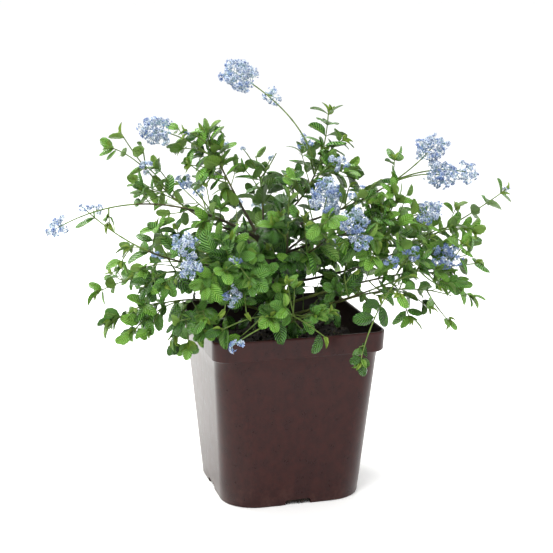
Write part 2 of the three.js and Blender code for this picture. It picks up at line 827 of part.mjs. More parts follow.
const group = new THREE.Group();

function place(name, geometry, material) {
  const mesh = new THREE.Mesh(geometry, material);
  mesh.name = name;
  group.add(mesh);
}

place('pot', makePot(), potLook);
place('soil', makeSoil(), soilLook);
place('trunk', toGeometry(trunkSolid(0)), barkLook);

// Boughs start at the trunk and are cut clear of it and of the boughs before.
let taken = trunkSolid(fitGap);
for (const limb of planned) {
  const radiusAt = (extra) => (share) => limbRadius(limb.plan, limb.plan.bare * share) + extra;
  const whole = toSolid(taperedLimb(limb.bough, 3, 4, radiusAt(0)));
  const wide = toSolid(taperedLimb(limb.bough, 3, 4, radiusAt(fitGap)));
  place(`bough_${limb.name}`, toGeometry(biggestBody(whole.subtract(taken))), barkLook);
  taken = taken.add(wide);
}

for (const limb of planned) {
  place(`mass_${limb.name}`, makeMass(limb), foliageLook);
}

export default group;
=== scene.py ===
# A young california lilac in flower, in its square plastic nursery pot.
# The growth is worked out in millimetres and every mesh is made in metres.
import math

import bpy
import numpy as np
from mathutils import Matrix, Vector, noise


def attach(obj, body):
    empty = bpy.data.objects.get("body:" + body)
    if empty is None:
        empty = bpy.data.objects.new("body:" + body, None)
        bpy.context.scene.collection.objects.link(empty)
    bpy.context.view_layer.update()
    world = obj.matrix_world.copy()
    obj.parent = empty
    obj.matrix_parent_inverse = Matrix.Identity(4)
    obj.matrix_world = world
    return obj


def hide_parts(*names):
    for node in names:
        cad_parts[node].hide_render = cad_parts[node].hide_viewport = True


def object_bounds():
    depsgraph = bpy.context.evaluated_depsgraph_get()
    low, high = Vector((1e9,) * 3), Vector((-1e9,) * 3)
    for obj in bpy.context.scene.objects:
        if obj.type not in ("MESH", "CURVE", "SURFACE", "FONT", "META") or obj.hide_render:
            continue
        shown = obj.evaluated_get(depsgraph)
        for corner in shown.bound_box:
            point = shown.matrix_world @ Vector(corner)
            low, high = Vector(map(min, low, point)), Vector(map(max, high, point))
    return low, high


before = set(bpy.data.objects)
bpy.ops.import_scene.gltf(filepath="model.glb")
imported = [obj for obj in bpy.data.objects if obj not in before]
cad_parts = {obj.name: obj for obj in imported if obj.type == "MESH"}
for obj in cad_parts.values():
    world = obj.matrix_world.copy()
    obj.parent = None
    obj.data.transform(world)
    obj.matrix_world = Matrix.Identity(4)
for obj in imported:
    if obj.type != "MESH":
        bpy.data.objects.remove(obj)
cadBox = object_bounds()
mm = 0.001
print("frame loaded")

# camera, light and floor

view = {"from": (-366.4, -1312.8, 531.7), "towards": (-2.1, 0.6, 212.0), "lens": 92.44, "frameWidth": 36}
studio = {
    "sky": (1.0, 1.0, 1.0, 1), "skyStrength": 1.05,
    "floor": (0.96, 0.96, 0.96, 1), "floorSize": 60.0,
    # name, place, aim, size, watts, colour
    "lamps": [
        ("key", (-0.8, -1.1, 2.0), (0, 0, 0.25), 1.0, 27, (1, 0.99, 0.97)),
        ("fill", (1.5, -1.2, 1.0), (0, 0, 0.25), 1.4, 6, (0.97, 0.98, 1)),
        ("rim", (0.5, 1.2, 1.9), (0, 0, 0.28), 0.9, 14, (1, 1, 1)),
        ("backdrop", (-0.6, 0.9, 1.0), (-0.2, 0.35, 0), 0.8, 19, (0.97, 1, 0.94)),
    ],
}


def aimed(thing, place, target):
    thing.location = place
    thing.rotation_euler = (Vector(target) - Vector(place)).to_track_quat("-Z", "Y").to_euler()
    bpy.context.scene.collection.objects.link(thing)


def setUpStudio():
    lens = bpy.data.cameras.new("camera")
    lens.lens, lens.sensor_width, lens.sensor_fit = view["lens"], view["frameWidth"], "HORIZONTAL"
    lens.clip_start, lens.clip_end = 0.05, 30
    camera = bpy.data.objects.new("camera", lens)
    aimed(camera, [v * mm for v in view["from"]], [v * mm for v in view["towards"]])
    bpy.context.scene.camera = camera
    for name, place, target, size, watts, colour in studio["lamps"]:
        lamp = bpy.data.lights.new(name, "AREA")
        lamp.shape, lamp.size, lamp.energy, lamp.color = "DISK", size, watts, colour
        aimed(bpy.data.objects.new(name, lamp), place, target)
    world = bpy.data.worlds.new("studio")
    world.use_nodes = True
    sky = world.node_tree.nodes["Background"]
    sky.inputs["Color"].default_value = studio["sky"]
    sky.inputs["Strength"].default_value = studio["skyStrength"]
    bpy.context.scene.world = world
    bpy.context.scene.view_settings.view_transform = "Standard"


# shading made from sums of sockets

class Wire:
    def __init__(self, finish, socket):
        self.finish, self.socket = finish, socket

    def maths(self, operation, *others):
        return self.finish.node("ShaderNodeMath", {"operation": operation}, [self, *others])

    def flipped(self, operation, other):
        return self.finish.node("ShaderNodeMath", {"operation": operation}, [other, self])

    def __add__(self, other):
        return self.maths("ADD", other)

    def __sub__(self, other):
        return self.maths("SUBTRACT", other)

    def __rsub__(self, other):
        return self.flipped("SUBTRACT", other)

    def __mul__(self, other):
        return self.maths("MULTIPLY", other)

    __radd__ = __add__
    __rmul__ = __mul__

    def size(self):
        return self.maths("ABSOLUTE")

    def ramp(self, low, high):  # 0 below low, 1 above high, smooth between
        settings = {"interpolation_type": "SMOOTHSTEP"}
        return self.finish.node("ShaderNodeMapRange", settings, [self, low, high, 0.0, 1.0])


class Finish:
    def __init__(self, name, **fixed):
        self.material = bpy.data.materials.new(name)
        self.material.use_nodes = True
        self.tree = self.material.node_tree
        self.shader = self.tree.nodes["Principled BSDF"]
        for socket, value in fixed.items():
            self.shader.inputs[socket.replace("_", " ")].default_value = value

    def node(self, kind, settings=None, values=(), out=0):
        made = self.tree.nodes.new(kind)
        for key, value in (settings or {}).items():
            setattr(made, key, value)
        for key, value in values.items() if isinstance(values, dict) else enumerate(values):
            self.feed(made.inputs[key], value)
        return Wire(self, made.outputs[out])

    def feed(self, socket, value):
        if isinstance(value, Wire):
            self.tree.links.new(value.socket, socket)
        else:
            socket.default_value = value

    def give(self, socket, value):
        self.feed(self.shader.inputs[socket], value)

    def place(self):
        return self.node("ShaderNodeTexCoord", out="Object")

    def split(self, where, *outs):  # the parts of a place, by number
        parts = self.tree.nodes.new("ShaderNodeSeparateXYZ")
        self.feed(parts.inputs[0], where)
        return [Wire(self, parts.outputs[out]) for out in outs]

    def attribute(self, name):  # a value that the mesh carries
        return self.node("ShaderNodeAttribute", {"attribute_name": name}, out=2)

    def stretched(self, where, scale):
        return self.node("ShaderNodeMapping", {}, {"Vector": where, "Scale": scale})

    def noise(self, where, scale, detail=3.0, rough=0.55):
        return self.node("ShaderNodeTexNoise", {},
                         {"Vector": where, "Scale": scale, "Detail": detail, "Roughness": rough})

    def mix(self, share, first, second):
        return self.node("ShaderNodeMix", {"data_type": "RGBA"}, {0: share, 6: first, 7: second}, out=2)

    def bump(self, height, strength, distance):
        raised = {"Strength": strength, "Distance": distance, "Height": height}
        self.give("Normal", self.node("ShaderNodeBump", {}, raised))


def tint(red, green, blue):  # a screen colour of 0 to 255 as light
    share = [v / 255 for v in (red, green, blue)]
    return (*[v / 12.92 if v <= 0.04045 else ((v + 0.055) / 1.055) ** 2.4 for v in share], 1)


def keep(piece, finish, slot, *nodes):
    piece.data.materials.clear()
    piece.data.materials.append(finish.material)
    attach(piece, "root")
    if nodes:
        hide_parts(*nodes)
    print(f"{piece.name}: {len(piece.data.polygons)} faces")


def mode(name):
    bpy.ops.object.mode_set(mode=name)


def workOn(piece):  # only this piece is selected
    if bpy.context.mode != "OBJECT":
        mode("OBJECT")
    bpy.ops.object.select_all(action="DESELECT")
    piece.select_set(True)
    bpy.context.view_layer.objects.active = piece


def smoothBy(piece, degrees):
    workOn(piece)
    bpy.ops.object.shade_smooth_by_angle(angle=math.radians(degrees))


# many small shapes gathered into one mesh

class Heap:
    def __init__(self):
        self.points, self.quads, self.triangles, self.count = [], [], [], 0
        self.quadSpots, self.triangleSpots = [], []

    def add(self, points, quads=None, triangles=None, quadSpots=None, triangleSpots=None):
        self.points.append(points)
        for faces, spots, heap, spotHeap, corners in (
                (quads, quadSpots, self.quads, self.quadSpots, 4),
                (triangles, triangleSpots, self.triangles, self.triangleSpots, 3)):
            if faces is not None and len(faces):
                heap.append(np.asarray(faces) + self.count)
                spotHeap.append(np.zeros((len(faces), corners, 2)) if spots is None else spots)
        self.count += len(points)

    def addCopies(self, shape, origins, axes):  # axes: side, along and face of each copy, at its size
        if not len(origins):
            return
        points = np.einsum("vk,nkj->nvj", shape["points"], axes) + origins[:, None]
        steps = (np.arange(len(origins)) * len(shape["points"]))[:, None, None]
        made = {"quads": None, "triangles": None}
        spots = dict(made)
        for kind, corners in (("quads", 4), ("triangles", 3)):
            if len(shape.get(kind, ())):
                made[kind] = (np.asarray(shape[kind])[None] + steps).reshape(-1, corners)
                if kind + "Spots" in shape:
                    spots[kind] = np.tile(shape[kind + "Spots"], (len(origins), 1, 1))
        self.add(points.reshape(-1, 3), *made.values(), *spots.values())

    def piece(self, name, degrees=None):
        mesh = bpy.data.meshes.new(name)
        points = np.concatenate(self.points) * mm
        quads = np.concatenate(self.quads) if self.quads else np.zeros((0, 4), int)
        triangles = np.concatenate(self.triangles) if self.triangles else np.zeros((0, 3), int)
        corners = np.concatenate([quads.ravel(), triangles.ravel()])
        starts = np.concatenate([np.arange(len(quads)) * 4, len(quads) * 4 + np.arange(len(triangles)) * 3])
        spots = np.concatenate([s.reshape(-1, 2) for s in self.quadSpots + self.triangleSpots])
        mesh.vertices.add(len(points))
        mesh.vertices.foreach_set("co", points.astype(np.float32).ravel())
        mesh.loops.add(len(corners))
        mesh.loops.foreach_set("vertex_index", corners.astype(np.int32))
        mesh.polygons.add(len(starts))
        mesh.polygons.foreach_set("loop_start", starts.astype(np.int32))
        mesh.uv_layers.new(name="across").data.foreach_set("uv", spots.astype(np.float32).ravel())
        mesh.update(calc_edges=True)
        mesh.validate()
        made = bpy.data.objects.new(name, mesh)
        bpy.context.scene.collection.objects.link(made)
        if degrees:
            smoothBy(made, degrees)
        return made


def unit(v):
    return v / np.linalg.norm(v)


def circle(sides):
    return 2 * np.pi * np.arange(sides) / sides


# A round tube along a path, closed by a point at each end.
def tube(heap, path, radii, sides, relief=None):
    ahead = np.gradient(path, axis=0)
    ahead /= np.linalg.norm(ahead, axis=1)[:, None]
    side = np.cross(ahead[0], (0.3, 0.2, 1))
    angles = circle(sides)
    rings = []
    for i, (middle, radius) in enumerate(zip(path, radii)):
        side = unit(side - ahead[i] * (side @ ahead[i]))
        over = np.cross(ahead[i], side)
        reach = radius * (1 if relief is None else relief[i])
        flat, tall = np.cos(angles) * reach, np.sin(angles) * reach
        rings.append(middle + flat[:, None] * side + tall[:, None] * over)
    ends = [path[0] - ahead[0] * radii[0] * 0.4], [path[-1] + ahead[-1] * radii[-1] * 0.7]
    j = np.arange(sides)
    after = (j + 1) % sides
    quads = [np.stack([i * sides + j, i * sides + after, (i + 1) * sides + after, (i + 1) * sides + j], 1)
             for i in range(len(path) - 1)]
    last = (len(path) - 1) * sides
    caps = [np.stack([np.full(sides, last + sides), after, j], 1),
            np.stack([np.full(sides, last + sides + 1), last + j, last + after], 1)]
    heap.add(np.concatenate([*rings, *ends]), np.concatenate(quads), np.concatenate(caps))


# the pot

pot = {
    "rimHalf": 85, "rimCorner": 14, "footHalf": 70, "footCorner": 35, "height": 172,
    "bandHeight": 20, "bandStep": 3.4, "wall": 1.8, "lip": 2.6, "floor": 2.4,
    "seat": 0.7, "cornerMore": 6,   # how the wall meets the band
    "notchWide": 26, "notchHigh": 5.5, "notchDeep": 17, "notchRound": 2.6,
    "cornerCuts": 14, "levels": (20, 50, 80, 110, 136),
    "smooth": 32, "shadedInsideDepth": 1.45, "shadedInsideAbove": 6,
}
bandLow = pot["height"] - pot["bandHeight"]


def wallHalf(height):
    top = pot["rimHalf"] - pot["bandStep"] - pot["seat"]
    return pot["footHalf"] + (top - pot["footHalf"]) * height / bandLow


def wallCorner(height):
    top = pot["rimCorner"] + pot["cornerMore"]
    return pot["footCorner"] + (top - pot["footCorner"]) * height / bandLow


def addLoop(half, height, corner):  # a rounded square, left as a loop of edges
    bpy.ops.mesh.primitive_plane_add(size=2 * half * mm, location=(0, 0, height * mm))
    bpy.ops.mesh.bevel(affect="VERTICES", offset=corner * mm, offset_type="OFFSET",
                       segments=pot["cornerCuts"], profile=0.5)
    bpy.ops.mesh.delete(type="ONLY_FACE")


def pickEdges(piece, chosen):  # select the edges whose two ends pass the test
    bpy.ops.mesh.select_mode(type="EDGE")
    bpy.ops.mesh.select_all(action="DESELECT")
    mode("OBJECT")
    spots = [v.co.copy() for v in piece.data.vertices]
    for edge in piece.data.edges:
        edge.select = chosen(*[spots[k] for k in edge.vertices])
    mode("EDIT")


def potProfile():  # half width, height and corner of each loop, up the outside and down the inside
    foot, rim, high, wall = pot["footHalf"], pot["rimHalf"], pot["height"], pot["wall"]
    footCorner, rimCorner, inner = pot["footCorner"], pot["rimCorner"], pot["rimHalf"] - pot["lip"]
    return [
        (foot - 1.6, 0, footCorner - 1.2), (foot - 0.4, 0.5, footCorner - 0.3),
        (foot + 0.1, 1.8, footCorner),
        *[(wallHalf(h), h, wallCorner(h)) for h in (*pot["levels"], bandLow - 1.5)],
        (wallHalf(bandLow) + 0.5, bandLow - 0.3, wallCorner(bandLow)),
        (rim - 1.3, bandLow + 0.3, rimCorner + 1), (rim - 0.6, bandLow + 1.2, rimCorner + 1),
        (rim - 0.3, bandLow + 9, rimCorner + 0.5), (rim - 0.05, high - 2.6, rimCorner),
        (rim, high - 1.5, rimCorner), (rim - 0.3, high - 0.4, rimCorner - 0.3),
        (rim - 1.0, high, rimCorner - 0.8),
        (inner + 0.5, high - 0.05, rimCorner - 2.0), (inner, high - 0.7, rimCorner - 2.4),
        (inner - 0.5, bandLow + 3, rimCorner - 1.2),
        (wallHalf(bandLow) - wall + 0.2, bandLow - 1.0, wallCorner(bandLow) - wall),
        *[(wallHalf(h) - wall, h - 0.2, wallCorner(h) - wall) for h in reversed(pot["levels"])],
        (wallHalf(4) - wall - 0.4, 4.1, footCorner - wall),
        (wallHalf(3) - wall - 1.6, pot["floor"], footCorner - wall - 1.2),
    ]


# The profile is drawn at heights of its own, so that each loop can be picked by
# its height and joined to the next one, and then pressed to its true heights.
def makePot():
    profile = potProfile()
    apart = 10  # loops are drawn this far apart

    def pickLoops(*numbers):
        heights = [n * apart * mm for n in numbers]
        pickEdges(made, lambda a, b: any(abs(a.z - h) < 2e-6 and abs(b.z - h) < 2e-6 for h in heights))

    bpy.ops.object.select_all(action="DESELECT")
    bpy.ops.mesh.primitive_plane_add(size=2 * profile[0][0] * mm, location=(0, 0, 0))
    made = bpy.context.object
    made.name = made.data.name = "nursery_pot"
    mode("EDIT")
    bpy.ops.mesh.delete(type="VERT")
    for i, (half, _, corner) in enumerate(profile):
        addLoop(half, i * apart, corner)
    for i in range(len(profile) - 1):
        pickLoops(i, i + 1)
        bpy.ops.mesh.bridge_edge_loops()
    for end in (0, len(profile) - 1):  # underside and inner floor
        pickLoops(end)
        bpy.ops.mesh.edge_face_add()
    mode("OBJECT")
    for vertex in made.data.vertices:
        vertex.co.z = profile[round(vertex.co.z / mm / apart)][1] * mm
    workOn(made)
    mode("EDIT")
    bpy.ops.mesh.select_all(action="SELECT")
    bpy.ops.mesh.normals_make_consistent(inside=False)
    mode("OBJECT")
    cutNotches(made)
    smoothBy(made, pot["smooth"])
    markShadedInside(made)
    return made


def markShadedInside(piece):  # 1 on the inner wall, which the finish darkens as painted shade
    spots = np.array([v.co for v in piece.data.vertices]) / mm
    level = spots[:, 2]
    half = np.where(level > bandLow, pot["rimHalf"], wallHalf(level))
    corner = np.where(level > bandLow, pot["rimCorner"], wallCorner(level))
    past = np.maximum(np.abs(spots[:, :2]) - (half - corner)[:, None], 0)
    depth = corner - np.hypot(past[:, 0], past[:, 1])
    inside = (depth > pot["shadedInsideDepth"]) & (level > pot["shadedInsideAbove"])
    shadeMark = piece.data.attributes.new("inside", "FLOAT", "POINT")
    shadeMark.data.foreach_set("value", inside.astype(np.float32))


def cutNotches(piece):  # a drainage notch with rounded upper corners in the middle of each side
    for turn in range(4):
        bpy.ops.object.select_all(action="DESELECT")
        bpy.ops.mesh.primitive_cube_add(size=1, location=(0, 0, 0))
        cutter = bpy.context.object
        size = (2 * pot["notchDeep"] * mm, pot["notchWide"] * mm, 2 * pot["notchHigh"] * mm)
        mode("EDIT")
        bpy.ops.transform.resize(value=size)
        bpy.ops.transform.translate(value=(pot["footHalf"] * mm, 0, 0))
        pickEdges(cutter, lambda a, b: a.z > 0 and b.z > 0 and abs(a.y - b.y) < 1e-6)
        bpy.ops.mesh.bevel(offset=pot["notchRound"] * mm, segments=4, profile=0.5)
        bpy.ops.mesh.select_all(action="SELECT")
        bpy.ops.transform.rotate(value=-turn * math.pi / 2, orient_axis="Z", center_override=(0, 0, 0))
        mode("OBJECT")
        cut = piece.modifiers.new("notch", "BOOLEAN")
        cut.operation, cut.solver, cut.object = "DIFFERENCE", "EXACT", cutter
        workOn(piece)
        bpy.ops.object.modifier_apply(modifier=cut.name)
        bpy.data.objects.remove(cutter)


def makePotFinish():  # dark satin plastic, faintly mottled, scuffed and dusty low down, its inner wall darkened as painted shade
    made = Finish("pot_plastic", IOR=1.32)
    where = made.place()
    upright = made.noise(made.stretched(where, (70, 70, 9)), 1.0, 4)
    blotch = made.noise(made.stretched(where, (1, 1, 0.8)), 120.0, 5, 0.7)
    fine = made.noise(where, 420.0, 2)
    scratch = made.noise(made.stretched(where, (240, 240, 22)), 1.0, 2)
    mottle = (upright * 0.08 + blotch * 0.92).ramp(0.36, 0.64)
    base = made.mix(mottle, tint(38, 11, 10), tint(49, 17, 14))
    # painted shade: the inner wall is darkened to a deep brown
    base = made.mix(made.attribute("inside"), base, tint(26, 15, 12))
    height, = made.split(where, 2)
    dust = (1 - height.ramp(0.0, 0.03)) * blotch.ramp(0.45, 0.75) * 0.15
    made.give("Base Color", made.mix(dust, base, tint(104, 84, 74)))
    made.give("Roughness", 0.23 + blotch * 0.12 + scratch.ramp(0.55, 0.75) * 0.05)
    made.bump(upright * 0.12 + fine * 0.3 + blotch * 0.5, 0.3, 0.0006)
    return made


# the compost

soil = {
    "top": 150, "dip": 3.5, "lumps": 1.6, "flat": 13, "flatFade": 20,
    "coarse": (0.16, 1.5), "fine": (0.55, 0.8),  # how close together and how high the clods are
    "inner": 2.15, "slack": 0.2,  # in from the wall's outside, and a little more lower down
    "cuts": 74, "levels": (120, 80, 40, 3), "drop": 200, "smooth": 60,
    # how many lie on it, and the smallest and largest
    "crumbs": 1500, "crumbSize": (0.8, 3.0), "chips": 170, "chipSize": (1.2, 3.4), "chipLong": 2.0,
    "spread": 2.5, "spreadCorner": 20, "trunkAt": 6, "trunkRoom": 7,
    "raised": 0.15, "chipShare": 0.7, "chipPitch": 0.18, "chipRoll": 0.2,
    # each crumb or chip as a ball knocked out of round
    "lumpLeast": 0.72, "lumpVaries": 0.5, "lumpNarrow": 0.85, "crumbTall": 0.75, "chipTall": 0.22,
    # those in the drainage notches
    "notchCrumbs": 220, "notchCrumbSize": (1.2, 2.2), "notchFrom": 1.9,
    "notchAcross": 0.46, "notchLift": 0.3, "notchRoom": 1.4,
    "seed": 31,
}


def soilHeight(x, y):
    out = math.hypot(x, y)
    loose = min(1, max(0, (out - soil["flat"]) / soil["flatFade"]))
    bumps = math.sin(x * 0.21 + 1.3) * math.cos(y * 0.17) + 0.6 * math.sin(x * 0.09 - y * 0.23)
    return loose * (soil["lumps"] * bumps - soil["dip"] * out / pot["rimHalf"])


def soilSurface(x, y):
    loose = min(1, max(0.15, (math.hypot(x, y) - 6) / 12))
    coarse = noise.noise(Vector((x, y, 3)) * soil["coarse"][0]) * soil["coarse"][1]
    fine = noise.noise(Vector((x, y, 9)) * soil["fine"][0]) * soil["fine"][1]
    return soil["top"] + soilHeight(x, y) + loose * (coarse + fine)


def pressSquare(x, y, half, corner):  # a point of the square of half 1, taken to a rounded square
    reach = max(abs(x), abs(y))
    if reach == 0:
        return 0, 0
    a, b = 1.0, min(abs(x), abs(y)) / reach
    inset = half - corner
    length = math.hypot(a, b)
    if half * b <= inset:
        edge = half * length
    else:
        along = inset * (a + b) / length
        edge = along + math.sqrt(along * along - 2 * inset * inset + corner * corner)
    return x / length * edge, y / length * edge


def makeSoil():
    half, corner = wallHalf(soil["top"]) - soil["inner"], wallCorner(soil["top"]) - soil["inner"]
    bpy.ops.object.select_all(action="DESELECT")
    bpy.ops.mesh.primitive_grid_add(x_subdivisions=soil["cuts"], y_subdivisions=soil["cuts"], size=2)
    made = bpy.context.object
    made.name = made.data.name = "compost_bed"
    for vertex in made.data.vertices:
        x, y = pressSquare(vertex.co.x, vertex.co.y, half, corner)
        vertex.co = Vector((x, y, soilSurface(x, y))) * mm
    mode("EDIT")
    bpy.ops.mesh.select_mode(type="EDGE")
    bpy.ops.mesh.select_all(action="SELECT")
    bpy.ops.mesh.region_to_loop()
    for level in soil["levels"]:  # the sides follow the pot's wall downwards
        bpy.ops.mesh.extrude_region_move(TRANSFORM_OT_translate={"value": (0, 0, -soil["drop"] * mm)})
        mode("OBJECT")
        half, corner = wallHalf(level) - soil["inner"] - soil["slack"], wallCorner(level) - soil["inner"]
        for vertex in made.data.vertices:
            if vertex.co.z < 0:  # only the new loop
                x, y = vertex.co.x / mm, vertex.co.y / mm
                reach = max(abs(x), abs(y))
                x, y = pressSquare(x / reach, y / reach, half, corner)
                vertex.co = Vector((x, y, level)) * mm
        mode("EDIT")
    bpy.ops.mesh.edge_face_add()
    bpy.ops.mesh.select_all(action="SELECT")
    bpy.ops.mesh.normals_make_consistent(inside=False)
    mode("OBJECT")
    smoothBy(made, soil["smooth"])
    return made


def lumpShape(seed, squash=1.0):  # a ball of twenty faces knocked out of round
    bpy.ops.object.select_all(action="DESELECT")
    bpy.ops.mesh.primitive_ico_sphere_add(subdivisions=1, radius=1)
    ball = bpy.context.object
    points = np.array([v.co for v in ball.data.vertices])
    faces = np.array([list(p.vertices) for p in ball.data.polygons])
    bpy.data.objects.remove(ball)
    random = np.random.default_rng(seed)
    swollen = soil["lumpLeast"] + soil["lumpVaries"] * random.random((len(points), 1))
    points = points * swollen * (1, soil["lumpNarrow"], squash)
    return {"points": points, "triangles": faces}


def turned(random, count):  # random axes for loose bits
    first = random.normal(size=(count, 3))
    first /= np.linalg.norm(first, axis=1)[:, None]
    second = np.cross(first, random.normal(size=(count, 3)))
    second /= np.linalg.norm(second, axis=1)[:, None]
    return np.stack([first, second, np.cross(first, second)], 1)


def lyingFlat(random, count, stretch):  # chips lie on their flat side, each in its own direction
    heading = random.uniform(0, 2 * np.pi, count)
    pitch = random.normal(0, soil["chipPitch"], count)
    along = np.column_stack([np.cos(heading), np.sin(heading), pitch])
    over = np.column_stack([random.normal(0, soil["chipRoll"], (count, 2)), np.ones(count)])
    across = np.cross(over, along)
    return np.stack([along * stretch, across, np.cross(along, across)], 1)


def scatterSoil():
    random = np.random.default_rng(soil["seed"])
    half = wallHalf(soil["top"]) - soil["inner"] - soil["spread"]
    crumbs, chips = Heap(), Heap()
    shapes = [lumpShape(k, soil["crumbTall"]) for k in range(5)]
    flat = [lumpShape(k, soil["chipTall"]) for k in range(20, 23)]
    for heap, some, count, (low, high) in ((crumbs, shapes, soil["crumbs"], soil["crumbSize"]),
                                           (chips, flat, soil["chips"], soil["chipSize"])):
        spots = random.uniform(-1, 1, (count, 2))
        spots = np.array([pressSquare(x, y, half, soil["spreadCorner"]) for x, y in spots])
        sizes = low + (high - low) * random.random(count) ** 3
        far = np.hypot(spots[:, 0] - soil["trunkAt"], spots[:, 1]) > soil["trunkRoom"]
        tops = np.array([soilSurface(x, y) for x, y in spots])
        origins = np.column_stack([spots, tops + sizes * soil["raised"]])
        axes = turned(random, count) * sizes[:, None, None]
        if heap is chips:
            axes = lyingFlat(random, count, soil["chipLong"]) * sizes[:, None, None] * soil["chipShare"]
        for k, shape in enumerate(some):
            chosen = far & (np.arange(count) % len(some) == k)
            heap.addCopies(shape, origins[chosen], axes[chosen])
    fillNotches(random, crumbs, shapes)
    return crumbs.piece("compost_crumbs"), chips.piece("bark_chips")


def fillNotches(random, crumbs, shapes):  # dark crumbs fill the drainage notches
    count = soil["notchCrumbs"] * 4
    sizes = random.uniform(*soil["notchCrumbSize"], count)
    depth = pot["footHalf"] - random.uniform(soil["notchFrom"], pot["notchDeep"] - 1, count)
    along = random.uniform(-soil["notchAcross"], soil["notchAcross"], count) * pot["notchWide"]
    above = random.random(count) * (pot["notchHigh"] - soil["notchRoom"] * sizes)
    height = soil["notchLift"] + sizes + above
    origins = np.column_stack([depth, along, height])
    for turn in range(4):
        chosen = np.arange(count) % 4 == turn
        c, s = round(math.cos(turn * math.pi / 2)), round(math.sin(turn * math.pi / 2))
        spots = origins[chosen] @ np.array([(c, s, 0), (-s, c, 0), (0, 0, 1)])
        crumbs.addCopies(shapes[turn], spots, (turned(random, count) * sizes[:, None, None])[chosen])


def makeEarthFinish(name, dark, pale, share):
    made = Finish(name, IOR=1.4)
    where = made.place()
    grain = made.noise(where, 520.0, 5, 0.7)
    patch = made.noise(where, 90.0, 3)
    made.give("Base Color", made.mix((grain * 0.6 + patch * 0.4).ramp(0.4, share), dark, pale))
    made.give("Roughness", 0.8 + grain * 0.18)
    made.bump(grain * 0.7 + patch * 0.3, 0.8, 0.0012)
    return made


# how the shrub grows

trunk = {
    "foot": (6, 0), "ground": 150.3, "lean": (-18, 16, 255), "rise": 192,
    "flareRadius": 7.4, "footRadius": 4.6, "forkRadius": 2.6, "flareUpTo": 0.12,
}
leaf = {
    "spacing": 18, "length": 27, "broad": 0.58, "apart": 0.45, "turn": 137.5, "drawn": 0.99,
    "lean": 0.55, "lift": 0.12,            # forwards along the twig, and upwards
    "faceUp": 0.62, "faceOut": 0.42, "faceAhead": 0.25, "faceLoose": 1.1,  # where its face looks
    "low": 0.36, "high": 0.72, "narrow": 0.86, "sag": 0.08, "highSag": 0.02,  # the room it takes
    "middle": 0.55, "reach": 0.4,          # a ball that stands for it where places are kept free
    "firstAt": 0.6, "taper": 0.3,          # along its twig
    "tuftAt": 0.985, "tuftStep": 0.03, "tuftLean": 0.9,
    # shares of the length, as least and more, and in tufts at the ends and along the twigs
    "least": 0.8, "varies": 0.4, "tuftLeast": 0.85, "tuftVaries": 0.3,
    "atStem": 0.66, "atShoot": 0.62, "atTwig": 0.6, "onShoot": 0.86, "onTwig": 0.85, "onMore": 0.92,
}
twig = {
    "radius": 0.8, "tipRadius": 0.5, "length": 46, "carried": 0.8, "leafy": 1.3, "arch": 0.08,
    "first": 0.25, "loose": 0.5, "turn": 1.25,  # where each one leaves the stem
    "heading": (0.85, 0.45, 0.22),              # outwards, ahead and upwards
    "least": 0.65, "varies": 0.6, "taper": 0.35,  # its share of the length
    "cuts": (1, 0.65, 0.42), "sag": -0.06,      # tried shorter where there is no room
    "foot": 1.04, "ringStep": 4, "scar": 0.22, "scarStep": 2.4,
}
stem = {"radius": 0.95, "leafy": 0.8, "sunk": 2.0, "woodyTo": 0.42, "greenFrom": 0.40}
room = {"between": 2.6, "limb": 1.6, "rim": 2.5, "overRim": 3, "inside": 9, "overSoil": 4}
seeds = {"grown": (1009, 71), "finer": (70001, 97)}  # first, and step from limb to limb


def shoot(at, to, bloom=0, leafy=0, **other):
    return {"at": at, "to": to, "bloom": bloom, "leafy": leafy, **other}


